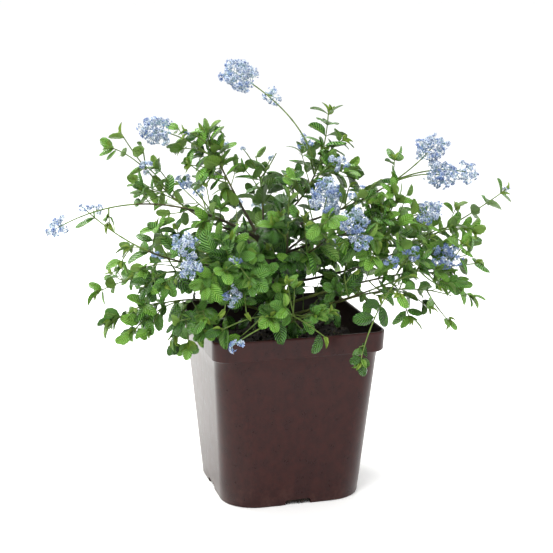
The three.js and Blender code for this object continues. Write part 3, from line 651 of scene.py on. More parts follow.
# Every limb leaves the trunk at the share `up`, bends through `via` and ends at `to`,
# both as degrees from +X, distance out and height. `thick` is its radius at the trunk,
# `bare` the share without leaves, `bloom` a flower head's radius, `carried` how far
# along it carries twigs, `fine` how thick its fine growth is, and `keep` the share of
# its leaves that stay. `shoots` leave it at the share `at`, or `on` an earlier shoot,
# and `more` are further leafy shoots as share and tip.
limbs = {
    "left_arch": dict(
        up=0.93, via=(172, 118, 287), to=(170, 214, 265), thick=1.7, bare=0.34, bloom=10, twigs=1,
        leafy=0.7, carried=0.35, fine=0.4,
        shoots=[shoot(0.8, (169, 176, 282), bloom=6), shoot(0.74, (176, 165, 272), leafy=0.6)],
        more=[(0.5, (165, 111, 294)), (0.35, (165, 96, 298)), (0.2, (178, 73, 270))]),
    "left_fork": dict(
        up=0.8, via=(-172, 108, 238), to=(-177, 191, 291), thick=1.5, bare=0.4, bloom=5, twigs=2,
        leafy=0.7, carried=0.4, fine=0.6,
        shoots=[shoot(0.72, (-175, 158, 240), leafy=1)],
        more=[(0.5, (-177, 121, 268)), (0.6, (177, 146, 248))]),
    "left_upper": dict(
        up=0.985, via=(158, 92, 279), to=(157, 156, 352), thick=1.9, bare=0.34, bloom=0, twigs=3,
        leafy=1.5, fine=0.25,
        shoots=[shoot(0.62, (163, 129, 321), bloom=7), shoot(0.8, (158, 134, 339), leafy=1)],
        more=[(0.55, (160, 118, 318)), (0.75, (159, 163, 337)), (0.5, (162, 131, 298))]),
    "left_top": dict(
        up=0.955, via=(143, 54, 305), to=(137, 84, 353), thick=1.9, bare=0.36, bloom=0, twigs=2,
        leafy=1.7, fine=0.3,
        shoots=[shoot(0.66, (151, 124, 353), bloom=15, leafy=0.4),
                shoot(0.6, (122, 71, 336), bloom=4, leafy=1),
                shoot(0.8, (152, 91, 352), bloom=4, leafy=0.6)],
        more=[(0.6, (148, 68, 315)), (0.5, (148, 76, 305)), (0.7, (148, 100, 335)),
              (0.5, (161, 86, 322)), (0.6, (137, 63, 333)), (0.55, (143, 56, 297)),
              (0.6, (140, 61, 319))]),
    "centre_back": dict(
        up=0.88, via=(98, 42, 286), to=(94, 70, 322), thick=1.4, bare=0.33, bloom=0, twigs=2,
        leafy=1.7, fine=0.2,
        shoots=[shoot(0.6, (80, 80, 318), bloom=4, leafy=0.6),
                shoot(0.7, (106, 68, 330), bloom=4, leafy=0.6)],
        more=[(0.5, (109, 59, 310))]),
    "centre_upright": dict(
        up=0.3, via=(-95, 45, 258), to=(-95, 52, 318), thick=1.4, bare=0.24, bloom=0, twigs=4,
        leafy=1.8, fine=0.85),
    "top": dict(
        up=1, via=(16, 34, 298), to=(17, 58, 373), thick=2, bare=0.32, bloom=0, twigs=2, leafy=2.3,
        carried=0.5, fine=0.4,
        shoots=[shoot(0.62, (149, 39, 408), bloom=16, mid=(24, 18, 364)),
                shoot(0.78, (100, 14, 388), bloom=9, on=0),
                shoot(0.6, (24, 32, 342), bloom=7, leafy=0.3),
                shoot(0.5, (-24, 58, 326), bloom=9, leafy=0.5)],
        more=[(0.66, (3, 66, 344)), (0.5, (4, 74, 316))]),
    "centre_front": dict(
        up=0.62, via=(-62, 56, 252), to=(-65, 105, 283), thick=1.6, bare=0.3, bloom=12, twigs=4,
        leafy=1.5, fine=0.85,
        shoots=[shoot(0.5, (-60, 63, 299), bloom=16, leafy=0.8),
                shoot(0.8, (-66, 119, 268), bloom=10)]),
    "right_upper": dict(
        up=0.97, via=(-14, 82, 289), to=(-16, 147, 339), thick=1.9, bare=0.34, bloom=14, twigs=3,
        leafy=1.1, carried=0.55, fine=0.12, keep=0.4,
        shoots=[shoot(0.66, (-20, 156, 315), bloom=14, leafy=0.4),
                shoot(0.7, (-12, 184, 314), bloom=11, leafy=0.4), shoot(0.5, (-8, 100, 306), leafy=1)],
        more=[(0.4, (-23, 69, 304))]),
    "right_mid": dict(
        up=0.78, via=(-30, 76, 262), to=(-29, 148, 283), thick=1.6, bare=0.34, bloom=12, twigs=4,
        leafy=1.6, fine=1.9,
        more=[(0.55, (-31, 93, 287)), (0.7, (-31, 116, 294)), (0.6, (-37, 110, 257)),
              (0.5, (-66, 108, 259)), (0.6, (-60, 122, 250))]),
    "right_long": dict(
        up=0.56, via=(-9, 112, 231), to=(-8, 228, 294), thick=1.6, bare=0.36, bloom=3.6, twigs=3,
        leafy=1.3, carried=0.5, fine=0.9,
        shoots=[shoot(0.72, (-12, 192, 254), leafy=1)],
        more=[(0.6, (-12, 181, 259)), (0.6, (-20, 166, 264))]),
    "right_low": dict(
        up=0.34, via=(-32, 98, 216), to=(-24, 196, 232), thick=1.7, bare=0.4, bloom=0, twigs=4,
        leafy=1.7,
        shoots=[shoot(0.72, (-31, 165, 242), bloom=13, leafy=0.3),
                shoot(0.6, (-42, 140, 248), bloom=8, leafy=0.3),
                shoot(0.55, (-51, 129, 243), bloom=7, leafy=0.6)],
        more=[(0.6, (-27, 148, 257)), (0.7, (-24, 173, 210)), (0.7, (-32, 160, 252))]),
    "right_droop": dict(
        up=0.13, via=(-15, 96, 196), to=(-12, 172, 190), thick=1.4, bare=0.4, bloom=0, twigs=3,
        leafy=1.4, fine=0.3,
        shoots=[shoot(0.62, (-24, 129, 176), leafy=1), shoot(0.6, (-21, 148, 184), leafy=1)]),
    "front_right": dict(
        up=0.22, via=(-46, 84, 203), to=(-43, 138, 228), thick=1.6, bare=0.36, bloom=0, twigs=3,
        leafy=1.5,
        shoots=[shoot(0.88, (-73, 138, 158), leafy=1.3, mid=(-62, 130, 197))]),
    "front_low": dict(
        up=0.11, via=(-97, 60, 189), to=(-84, 116, 180), thick=1.3, bare=0.3, bloom=0, twigs=4,
        leafy=1.6, fine=0.4,
        shoots=[shoot(0.5, (-108, 86, 196), leafy=1.2),
                shoot(0.6, (-124, 126, 177), bloom=7, leafy=0.5, mid=(-112, 104, 190))],
        more=[(0.6, (-132, 118, 186))]),
    "front_left": dict(
        up=0.68, via=(-143, 68, 238), to=(-148, 127, 264), thick=1.5, bare=0.32, bloom=12, twigs=2,
        leafy=1.4, carried=0.6, fine=0.7,
        shoots=[shoot(0.7, (-144, 127, 244), bloom=11, leafy=0.3),
                shoot(0.6, (-130, 96, 250), bloom=5, leafy=1),
                shoot(0.5, (-130, 105, 215), bloom=9, leafy=1)],
        more=[(0.6, (-141, 116, 224)), (0.5, (-132, 112, 203)), (0.45, (-121, 110, 199))]),
    "left_bottom": dict(
        up=0.2, via=(-165, 88, 200), to=(-172, 168, 186), thick=1.5, bare=0.38, bloom=0, twigs=3,
        leafy=1.5, fine=0.35,
        shoots=[shoot(0.7, (-161, 145, 180), leafy=1.2),
                shoot(0.55, (-149, 140, 178), leafy=1.2, mid=(-155, 120, 194))],
        more=[(0.7, (-172, 172, 184)), (0.6, (-165, 159, 178)), (0.5, (-141, 118, 195)),
              (0.55, (-141, 119, 183)), (0.6, (-145, 131, 172))]),
    "left_low": dict(
        up=0.43, via=(179, 92, 222), to=(175, 178, 204), thick=1.6, bare=0.36, bloom=0, twigs=4,
        leafy=1.5, fine=0.55,
        shoots=[shoot(0.6, (178, 142, 220), leafy=1)],
        more=[(0.55, (-162, 146, 222)), (0.45, (-155, 138, 226)), (0.5, (-168, 142, 236))]),
    "back_left": dict(
        up=0.85, via=(122, 76, 254), to=(121, 144, 288), thick=1.7, bare=0.34, bloom=0, twigs=3,
        leafy=1.2, fine=0.3, keep=0.7,
        shoots=[shoot(0.6, (128, 118, 294), bloom=9, leafy=0.6),
                shoot(0.7, (112, 138, 278), bloom=8, leafy=0.6)]),
    "back": dict(
        up=0.5, via=(85, 84, 226), to=(82, 164, 258), thick=1.7, bare=0.34, bloom=9, twigs=3,
        leafy=1.1, fine=0.5,
        shoots=[shoot(0.6, (94, 130, 262), bloom=8, leafy=0.8)]),
    "back_right": dict(
        up=0.74, via=(42, 78, 250), to=(40, 150, 272), thick=1.7, bare=0.34, bloom=10, twigs=3,
        leafy=1.2, fine=0.4, keep=0.6,
        shoots=[shoot(0.6, (50, 120, 278), bloom=9, leafy=0.6)]),
    "back_low_right": dict(
        up=0.31, via=(57, 86, 208), to=(56, 164, 214), thick=1.5, bare=0.38, bloom=0, twigs=3,
        leafy=1.1, fine=0.5,
        shoots=[shoot(0.6, (48, 142, 226), bloom=7, leafy=1), shoot(0.7, (64, 146, 196), leafy=1)]),
    "back_low_left": dict(
        up=0.38, via=(126, 86, 208), to=(130, 156, 206), thick=1.5, bare=0.38, bloom=0, twigs=2,
        leafy=1.1, fine=0.6,
        shoots=[shoot(0.6, (140, 136, 222), bloom=6, leafy=1), shoot(0.7, (118, 142, 198), leafy=1)]),
}
finer = {  # what the drawn plant has beyond the source's
    "apart": 0.3, "share": 0.3, "moreRadius": 0.7, "moreLeafy": 1.6,
    # each leaf's partner, and the small leaves in its axil
    "paired": 0.45, "pairedMore": 0.55, "across": 0.4, "partner": (0.8, 0.25),
    "axils": 0.4, "axilMore": 0.3, "axilAcross": 0.9, "axilLean": 1.1, "small": 11.5, "smalls": (0.7, 0.6),
    # fine twigs, which thin out between the distances middle and outside
    "twigs": 1 / 17, "longEnough": 18, "carried": 0.9, "shootCarried": 0.95, "first": 0.2, "loose": 0.6,
    "middle": 75, "outside": 165, "least": 0.3, "turn": 2.2, "heading": (0.8, 0.6, 0.2),
    "length": 26, "lengths": (0.6, 0.8), "cuts": (1, 0.7, 0.45), "sag": -0.03,
    "radius": 0.55, "tip": 0.8, "leafy": 1.8, "leaf": 20.5, "tuft": 0.8, "pastLeaf": 0.04,
    # leafy spurs low on the boughs
    "spurs": 1 / 10, "spurFrom": 0.3, "spurTop": 265, "spurTurn": 2, "spurHeading": (1, 0.35, 0.25),
    "spur": 19, "spurLengths": (0.7, 0.8), "spurCuts": (1, 0.75, 0.5), "spurSag": 0.02,
    "spurRadius": 0.6, "spurSunk": 0.8, "spurLeafy": 2.2, "spurLeaf": 1.05,
    "young": 0.52, "youngOnFine": 0.25,    # young tufts, as a share of the leaf, and how often
    "open": (-0.27, -0.93, 0.24),          # leaves leave the flower heads free this way
    "openFor": 80, "openBehind": 4, "openFrom": 5, "openHead": 0.9, "openLeaf": 0.5, "gapLeaf": 0.25,
    "gaps": [  # the crown is open towards the front at these places, each with its reach
        (17, -56, 219, 11), (-110, -8, 228, 10), (76, -64, 209, 10), (7, -35, 251, 7),
        (28, -35, 277, 6), (130, -52, 300, 12), (119, -44, 318, 12), (-37, 32, 303, 8),
        (92, -17, 334, 15), (-31, 52, 352, 12), (0, 62, 341, 9), (-1, -77, 201, 12), (39, -77, 204, 9),
        (-60, 56, 375, 13), (-166, 71, 358, 15), (-57, -107, 169, 8), (-35, -112, 171, 11),
        (-15, -118, 169, 8), (84, -78, 164, 13), (159, -50, 187, 12), (199, -48, 242, 11),
        (-154, 0, 210, 7), (-97, 38, 323, 12), (-99, 29, 283, 7), (9, 14, 344, 9), (105, -13, 343, 10),
        (34, 0, 314, 6), (-78, 25, 291, 8), (-77, 62, 378, 10), (28, -124, 216, 10), (7, -129, 193, 8),
        (29, -133, 203, 8), (80, -99, 201, 7), (54, -126, 194, 5), (-60, -106, 189, 8),
        (-45, -110, 189, 8), (-20, 35, 334, 8), (1, 28, 328, 8), (79, 12, 354, 9), (-121, 33, 276, 9),
        (98, -17, 318, 8), (117, -114, 183, 10), (-82, 59, 362, 6), (-141, 49, 255, 8),
        (-105, 21, 220, 6), (-120, -1, 157, 8), (-149, 6, 152, 6), (81, -110, 159, 7),
        (95, -1, 316, 7), (123, -98, 213, 6),
    ],
}

up = np.array((0.0, 0.0, 1.0))
# how near each other leaves grow, and how far the masses keep apart, for the finer
# growth and for spurs on a bough
close = {"apart": finer["apart"], "share": finer["share"]}
onBough = {"apart": finer["apart"], "share": None}


def placeAt(spot):
    angle = math.radians(spot[0])
    return np.array((spot[1] * math.cos(angle), spot[1] * math.sin(angle), spot[2]), float)


def seededNumbers(stage, order):  # the same run of numbers that the source draws
    first, step = seeds[stage]
    state = first + step * order
    while True:
        state = (state * 1664525 + 1013904223) % 4294967296
        yield state / 4294967296


def between(draw, name):  # a share drawn from its least value upwards
    least, more = finer[name]
    return least + more * next(draw)


class Curve:  # a quadratic curve from a start to a tip
    def __init__(self, start, pull, tip):
        self.start, self.pull, self.tip = start, pull, tip

    def at(self, share):
        t = np.asarray(share, float)[..., None]
        return (1 - t) ** 2 * self.start + 2 * t * (1 - t) * self.pull + t ** 2 * self.tip

    def speed(self, share):
        return 2 * (1 - share) * (self.pull - self.start) + 2 * share * (self.tip - self.pull)

    def ahead(self, share):
        return unit(self.speed(share))

    def along(self, count):
        return self.at(np.linspace(0, 1, count + 1))

    def length(self):
        return float(np.linalg.norm(np.diff(self.along(200), axis=0), axis=1).sum())

    def part(self, first, last):
        middle = (1 - first) * self.start + first * self.pull
        beyond = (1 - first) * self.pull + first * self.tip
        return Curve(self.at(first), (1 - last) * middle + last * beyond, self.at(last))


def curveThrough(start, bend, tip):
    return Curve(start, 2 * bend - (start + tip) / 2, tip)


def archTo(start, tip):
    rise = up * twig["arch"] * np.linalg.norm(tip - start)
    return curveThrough(start, (start + tip) / 2 + rise, tip)


trunkCurve = Curve(np.array((*trunk["foot"], trunk["ground"]), float),
                   np.array((*trunk["foot"], trunk["rise"]), float), np.array(trunk["lean"], float))


def trunkRadius(share):
    taper = trunk["footRadius"] + (trunk["forkRadius"] - trunk["footRadius"]) * share
    flare = max(0, 1 - share / trunk["flareUpTo"]) ** 2
    return taper + (trunk["flareRadius"] - trunk["footRadius"]) * flare


def limbRadius(plan, share):
    return plan["thick"] + (stem["radius"] - plan["thick"]) * min(1, share / plan["bare"])


def planLimbs():
    planned = []
    for order, (name, plan) in enumerate(limbs.items()):
        curve = curveThrough(trunkCurve.at(plan["up"]), placeAt(plan["via"]), placeAt(plan["to"]))
        gap = 0.3 / np.linalg.norm(curve.speed(plan["bare"]))
        shoots = []
        for one in plan.get("shoots", ()):
            host = shoots[one["on"]]["curve"] if "on" in one else curve
            start, tip = host.at(one["at"]), placeAt(one["to"])
            path = curveThrough(start, placeAt(one["mid"]), tip) if "mid" in one else archTo(start, tip)
            shoots.append({**one, "curve": path})
        planned.append({"name": name, "order": order, "plan": plan, "shoots": shoots,
                        "more": [archTo(curve.at(at), placeAt(spot)) for at, spot in plan.get("more", ())],
                        "stem": curve.part(plan["bare"] + gap, 1), "bough": curve.part(0, plan["bare"])})
    return planned


class Space:  # each mass keeps nearer its own stems than any other, and clear of the limbs
    def __init__(self, planned):
        spots, heads = [], []
        for limb in planned:
            order, bloom = limb["order"], limb["plan"]["bloom"]
            tips = [(limb["stem"].tip, bloom), *[(s["curve"].tip, s["bloom"]) for s in limb["shoots"]]]
            heads += [(tip, reach) for tip, reach in tips if reach >= finer["openFrom"]]
            spots += [(tip, order, reach) for tip, reach in tips[0 if bloom > 0 else 1:]]
            for curve in (limb["stem"], *[s["curve"] for s in limb["shoots"]], *limb["more"]):
                spots += [(spot, order, 0) for spot in curve.along(12)]
        self.places, self.owners, self.reaches = (np.array(part) for part in zip(*spots))
        self.heads, self.headReaches = (np.array(part) for part in zip(*heads))
        self.low, self.high = (np.array(corner) / mm + slack for corner, slack in zip(cadBox, (-1, 1)))
        rings = [(spot, limbRadius(limb["plan"], limb["plan"]["bare"] * i / 16))
                 for limb in planned for i, spot in enumerate(limb["bough"].along(16))]
        rings += [(spot, trunkRadius(i / 24)) for i, spot in enumerate(trunkCurve.along(24))]
        self.limbPlaces, reaches = (np.array(part) for part in zip(*rings))
        self.limbReaches = reaches + room["limb"]
        self.eye, gaps = np.array(view["from"]), np.array(finer["gaps"], float)
        self.gapReaches, self.sight = gaps[:, 3], gaps[:, :3] - self.eye
        self.sight /= np.linalg.norm(self.sight, axis=1)[:, None]
        self.way = np.array(finer["open"]) / np.linalg.norm(finer["open"])

    def hides(self, spot, reach):  # True where a leaf would cover a flower head or close a gap
        off = spot - self.eye
        aside = np.linalg.norm(off - (self.sight @ off)[:, None] * self.sight, axis=1)
        if np.any(aside < self.gapReaches + reach * finer["gapLeaf"]):
            return True
        off = spot - self.heads
        along = off @ self.way
        aside = np.linalg.norm(off - along[:, None] * self.way, axis=1)
        before = (along > -finer["openBehind"]) & (along < finer["openFor"])
        clear = self.headReaches * finer["openHead"] + reach * finer["openLeaf"]
        return bool(np.any(before & (aside < clear)))

    def fits(self, owner, points, share=1.0):
        points = np.atleast_2d(points)
        out = np.maximum(abs(points[:, 0]), abs(points[:, 1]))
        high = points[:, 2] > pot["height"] + room["overRim"]
        beside = (out > pot["rimHalf"] + room["rim"]) & (points[:, 2] > room["overSoil"])
        within = (out < pot["rimHalf"] - room["inside"]) & (points[:, 2] > soil["top"] + room["overSoil"])
        if not np.all(high | beside | within) or np.any(points < self.low) or np.any(points > self.high):
            return False
        if np.any(np.linalg.norm(points[:, None] - self.limbPlaces, axis=2) <= self.limbReaches):
            return False
        if share is None:  # a spur on a bough, before the masses part
            return True
        apart = np.linalg.norm(points[:, None] - self.places, axis=2) - self.reaches
        own = self.owners == owner
        return bool(np.all(apart[:, own].min(1) + room["between"] * share < apart[:, ~own].min(1)))


def acrossAxes(ahead):
    side = np.cross(ahead, up)
    if np.linalg.norm(side) < 0.2:
        side = np.array((1.0, 0.0, 0.0))
    side = unit(side)
    return side, unit(np.cross(side, ahead))


def around(ahead, angle):  # a direction straight out of a twig
    side, away = acrossAxes(ahead)
    return side * math.cos(angle) + away * math.sin(angle)


def headingFrom(out, ahead, shares):
    return unit(out * shares[0] + ahead * shares[1] + up * shares[2])


# A leaf as its root, the way it points, the way its face looks and its length.
def leafFrom(root, ahead, angle, lean, length, draw):
    points = unit(around(ahead, angle) + ahead * lean + up * leaf["lift"])
    outward = unit(np.array((root[0], root[1], 0.0)))
    loose = np.array([next(draw) - 0.5 for _ in range(3)])
    face = up * leaf["faceUp"] + outward * leaf["faceOut"] + ahead * leaf["faceAhead"]
    face = unit(face + loose * leaf["faceLoose"])
    face = unit(face - points * (face @ points))
    return {"root": root, "points": points, "face": face, "length": length, "angle": angle,
            "middle": root + points * leaf["middle"] * length}


def leafProbes(one):
    root, points, face, length = one["root"], one["points"], one["face"], one["length"]
    wide = np.cross(points, face) * length * leaf["broad"] / 2
    low = root + points * length * leaf["low"]
    high = root + points * length * leaf["high"] - face * leaf["highSag"] * length
    tip = root + points * length - face * leaf["sag"] * length
    a, b = low + wide, low - wide
    c, d = high + wide * leaf["narrow"], high - wide * leaf["narrow"]
    return np.array([(root + a) / 2, (root + b) / 2, a, b, (a + b) / 2, (c + d) / 2, c, d,
                     (a + c) / 2, (b + d) / 2, tip])


class Mass:  # everything that one limb carries
    def __init__(self, limb, space):
        self.limb, self.plan, self.space, self.order = limb, limb["plan"], space, limb["order"]
        self.twigs, self.blooms, self.leaves = [], [], []
        self.fine = self.plan.get("fine", 1)

    def addTwig(self, curve, radius, kind):
        self.twigs.append({"curve": curve, "radius": radius, "kind": kind})
        return self.twigs[-1]

    def addLeaf(self, grower, at, root, angle, lean, length, draw, kind, apart, share):
        one = leafFrom(root, grower["curve"].ahead(at), angle, lean, length, draw)
        one["kind"], one["at"], one["twig"] = kind, at, grower
        if self.space.hides(one["middle"], leaf["reach"] * length):
            return
        for other in self.leaves:
            if np.linalg.norm(other["middle"] - one["middle"]) < apart * 0.5 * (length + other["length"]):
                return
        if self.space.fits(self.order, leafProbes(one), share):
            self.leaves.append(one)

    def dress(self, grower, leafy, size, draw, kind="grown", apart=leaf["apart"], share=1.0):
        curve = grower["curve"]
        nodes = max(1, math.floor(curve.length() * leafy / leaf["spacing"] + 0.5)) if leafy > 0 else 0
        phase = 360 * next(draw)
        for k in range(nodes):
            at = (k + leaf["firstAt"]) / nodes
            grown = size * (1 - leaf["taper"] * at) * (leaf["least"] + leaf["varies"] * next(draw))
            angle = math.radians(phase + leaf["turn"] * k)
            self.addLeaf(grower, at, curve.at(at), angle, leaf["lean"], grown, draw, kind, apart, share)

    def tuft(self, grower, size, draw, kind="tip", count=2, apart=leaf["apart"], share=1.0):
        phase = 2 * math.pi * next(draw)
        for k in range(count):
            pair = k // 2 if count > 2 else 0  # each pair stands across the one below it
            grown = size * (leaf["tuftLeast"] + leaf["tuftVaries"] * next(draw))
            angle = phase + (math.pi * k + 0.5 * math.pi * pair)
            root = grower["curve"].at(leaf["tuftAt"] - leaf["tuftStep"] * (k % 2))
            lean = 1 + leaf["tuftLean"] * pair
            self.addLeaf(grower, 1, root, angle, lean, grown, draw, kind, apart, share)

    def endWith(self, grower, bloom, size, draw):  # a flower head or a tuft of leaves
        curve = grower["curve"]
        if bloom > 0:
            self.blooms.append({"centre": curve.tip, "radius": bloom, "ahead": curve.ahead(1)})
        else:
            self.tuft(grower, size, draw)

    def shortened(self, start, heading, reach, cuts, sag, share=1.0):
        for cut in cuts:
            tip = start + heading * reach * cut
            curve = curveThrough(start, (start + tip) / 2 + up * sag * reach * cut, tip)
            if self.space.fits(self.order, curve.along(6)[1:], share):
                return curve
        return None

    def sideTwig(self, host, k, draw):
        carried = self.plan.get("carried", twig["carried"])
        at = carried * (k + twig["first"] + twig["loose"] * next(draw)) / self.plan["twigs"]
        start, ahead = host["curve"].at(at), host["curve"].ahead(at)
        angle = math.radians(leaf["turn"] * k) + twig["turn"] * next(draw) + self.order
        heading = headingFrom(around(ahead, angle), ahead, twig["heading"])
        reach = twig["length"] * (twig["least"] + twig["varies"] * next(draw)) * (1 - twig["taper"] * at)
        return self.shortened(start, heading, reach, twig["cuts"], twig["sag"])

    def grow(self):
        draw = seededNumbers("grown", self.order)
        long = leaf["length"]
        host = self.addTwig(self.limb["stem"], stem["radius"], "stem")
        self.dress(host, self.plan["leafy"] * stem["leafy"], long, draw)
        for one in self.limb["shoots"]:
            grower = self.addTwig(one["curve"], twig["radius"], "shoot")
            self.dress(grower, one["leafy"], long * leaf["onShoot"], draw)
            self.endWith(grower, one["bloom"], long * leaf["atShoot"], draw)
        self.endWith(host, self.plan["bloom"], long * leaf["atStem"], draw)
        for k in range(self.plan["twigs"]):
            curve = self.sideTwig(host, k, draw)
            if curve:
                grower = self.addTwig(curve, twig["radius"], "side")
                self.dress(grower, twig["leafy"], long * leaf["onTwig"], draw)
                self.tuft(grower, long * leaf["atTwig"], draw)
        kept = self.plan.get("keep", 1)
        self.leaves = [one for one in self.leaves if next(draw) < kept]
        for curve in self.limb["more"]:
            grower = self.addTwig(curve, finer["moreRadius"], "more")
            self.dress(grower, finer["moreLeafy"], long * leaf["onMore"], draw, **close)
            self.tuft(grower, long * leaf["atTwig"], draw, count=4, **close)
        self.refine()

    # The same rule carried on: each leaf's partner across the twig, small leaves in
    # its axil, short finer twigs between them, leafy spurs and young tufts.
    def refine(self):
        draw = seededNumbers("finer", self.order)
        for one in list(self.leaves):
            if one["kind"] == "grown" and next(draw) < finer["paired"] + finer["pairedMore"] * self.fine:
                self.addPartner(one, draw)
        for host in list(self.twigs):
            bareShoot = host["kind"] == "shoot" and not self.carries(host)
            if not bareShoot and host["curve"].length() >= finer["longEnough"]:
                self.addFineTwigs(host, draw)
        self.addSpurs(draw, self.limb["bough"], lambda s: limbRadius(self.plan, self.plan["bare"] * s))
        if self.limb["name"] == "centre_upright":
            self.addSpurs(draw, trunkCurve, trunkRadius)
        for host in list(self.twigs):
            if host["kind"] == "fine":
                young = next(draw) <= finer["youngOnFine"]
            else:
                young = host["kind"] != "shoot" or self.carries(host)
            if young:
                self.tuft(host, finer["leaf"] * finer["young"], draw, "young", 4,
                          finer["apart"] * 0.5, finer["share"])
        self.twigs = [host for host in self.twigs
                      if host["kind"] in ("stem", "shoot") or self.carries(host)]
        for host in self.twigs:  # a fine twig ends at its last leaf
            if host["kind"] == "fine":
                last = max(one["at"] for one in self.leaves if one["twig"] is host)
                host["curve"] = host["curve"].part(0, min(1, last + finer["pastLeaf"]))

    def carries(self, host):
        return any(one["twig"] is host for one in self.leaves)

    def addPartner(self, one, draw):
        def addBeside(angle, lean, length, kind):
            self.addLeaf(one["twig"], one["at"], one["root"], angle, lean, length, draw, kind, **close)

        angle = one["angle"] + math.pi + finer["across"] * (next(draw) - 0.5)
        addBeside(angle, leaf["lean"], one["length"] * between(draw, "partner"), "grown")
        for k in range(2):
            if next(draw) < finer["axils"] * min(1, self.fine + finer["axilMore"]):
                angle = one["angle"] + math.pi * k + finer["axilAcross"] * (next(draw) - 0.5)
                addBeside(angle, finer["axilLean"], finer["small"] * between(draw, "smalls"), "small")

    def addFineTwigs(self, host, draw):
        curve = host["curve"]
        count = round(curve.length() * finer["twigs"] * max(1, self.fine) + 0.3)
        carried = finer["shootCarried"]
        if host["kind"] == "stem":
            carried = self.plan.get("carried", finer["carried"])
        for k in range(count):
            at = (k + finer["first"] + finer["loose"] * next(draw)) / count * carried
            spot, ahead = curve.at(at), curve.ahead(at)
            thin = (math.hypot(spot[0], spot[1]) - finer["middle"]) / (finer["outside"] - finer["middle"])
            if next(draw) > (1 - (1 - finer["least"]) * min(1, max(0, thin))) * min(1, self.fine):
                continue
            angle = math.radians(leaf["turn"] * k) + finer["turn"] * next(draw)
            heading = headingFrom(around(ahead, angle), ahead, finer["heading"])
            reach = finer["length"] * between(draw, "lengths")
            path = self.shortened(spot, heading, reach, finer["cuts"], finer["sag"], finer["share"])
            if path:
                grower = self.addTwig(path, finer["radius"], "fine")
                self.dress(grower, finer["leafy"], finer["leaf"], draw, "fine", **close)
                self.tuft(grower, finer["leaf"] * finer["tuft"], draw, count=4, **close)

    def addSpurs(self, draw, curve, radiusAt):
        first = finer["spurFrom"]
        count = round(curve.length() * (1 - first) * finer["spurs"])
        for k in range(count):
            at = first + (1 - first) * (k + finer["first"] + finer["loose"] * next(draw)) / count
            angle = math.radians(leaf["turn"] * k) + finer["spurTurn"] * next(draw) + self.order
            out = around(curve.ahead(at), angle)
            heading = headingFrom(out, curve.ahead(at), finer["spurHeading"])
            reach = finer["spur"] * between(draw, "spurLengths")
            start = curve.at(at) + out * radiusAt(at) * finer["spurSunk"]
            if start[2] > finer["spurTop"]:
                continue
            spur = self.shortened(start, heading, reach, finer["spurCuts"], finer["spurSag"], None)
            if spur:
                grower = self.addTwig(spur, finer["spurRadius"], "fine")
                size = finer["leaf"] * finer["spurLeaf"]
                self.dress(grower, finer["spurLeafy"], size, draw, "fine", **onBough)
                self.tuft(grower, finer["leaf"] * finer["tuft"], draw, count=4, **onBough)


# trunk and boughs

bark = {
    "trunkSides": 22, "trunkRings": 110, "boughSides": 12, "boughStep": 1.5, "sunk": 1.2, "overlap": 1.2,
    "ridges": 0.10, "lumpShare": 0.8, "boughShare": 0.8, "knots": 0.12, "knotScale": 0.22,
    "collar": 0.7, "collarFade": 3.2,  # where a bough leaves the trunk
    "buttress": 0.16, "buttresses": 5, "buttressUpTo": 0.14, "buttressTurn": 0.7,
    "trunkLength": 110, "trunkSeed": 5, "trunkEnd": 0.7,
    "green": ("right_low", "front_right", "right_droop", "front_low", "left_bottom", "centre_upright"),
}


def reliefFor(rings, sides, length, depth, seed):
    made = np.ones((rings, sides))
    for i in range(rings):
        z = length * i / (rings - 1)
        for j, angle in enumerate(circle(sides)):
            c, s = math.cos(angle), math.sin(angle)
            ridge = noise.noise(Vector((c * 2.2 + seed, s * 2.2, z * 0.05)))
            lump = noise.noise(Vector((c * 1.1 - seed, s * 1.1, z * 0.16)))
            made[i, j] += depth * ridge + depth * bark["lumpShare"] * lump
    return made


def makeTrunk(heap):
    share = np.linspace(0, 1, bark["trunkRings"])
    path = trunkCurve.at(share)
    path[0, 2] -= bark["sunk"]  # its foot stands just in the soil
    radii = np.array([trunkRadius(s) for s in share])
    radii[-1] *= bark["trunkEnd"]
    sides = bark["trunkSides"]
    relief = reliefFor(len(path), sides, bark["trunkLength"], bark["ridges"], bark["trunkSeed"])
    flare = np.maximum(0, 1 - share / bark["buttressUpTo"])[:, None] ** 2
    waves = np.cos(bark["buttresses"] * circle(sides) + bark["buttressTurn"])
    relief += flare * bark["buttress"] * waves[None]
    tube(heap, path, radii, sides, relief)


def makeLimbs(planned):
    brown, green = Heap(), Heap()
    makeTrunk(brown)
    for limb in planned:
        curve, plan = limb["bough"], limb["plan"]
        length = curve.length()
        rings = max(8, int(length / bark["boughStep"]))
        share = np.linspace(0, 1 + bark["overlap"] / length, rings)
        fromAxis = np.maximum(0, share * length - trunkRadius(plan["up"]))
        radii = np.array([limbRadius(plan, plan["bare"] * s) for s in share])
        radii *= 1 + bark["collar"] * np.exp(-fromAxis / bark["collarFade"])
        lumps = [noise.noise(Vector((limb["order"], 7, s * length * bark["knotScale"]))) for s in share]
        radii *= 1 + bark["knots"] * np.maximum(0, lumps)
        depth = bark["ridges"] * bark["boughShare"]
        relief = reliefFor(rings, bark["boughSides"], length, depth, limb["order"])
        heap = green if limb["name"] in bark["green"] else brown
        tube(heap, curve.at(share), radii, bark["boughSides"], relief)
    return brown.piece("bark_limbs", 60), green.piece("green_limbs", 60)


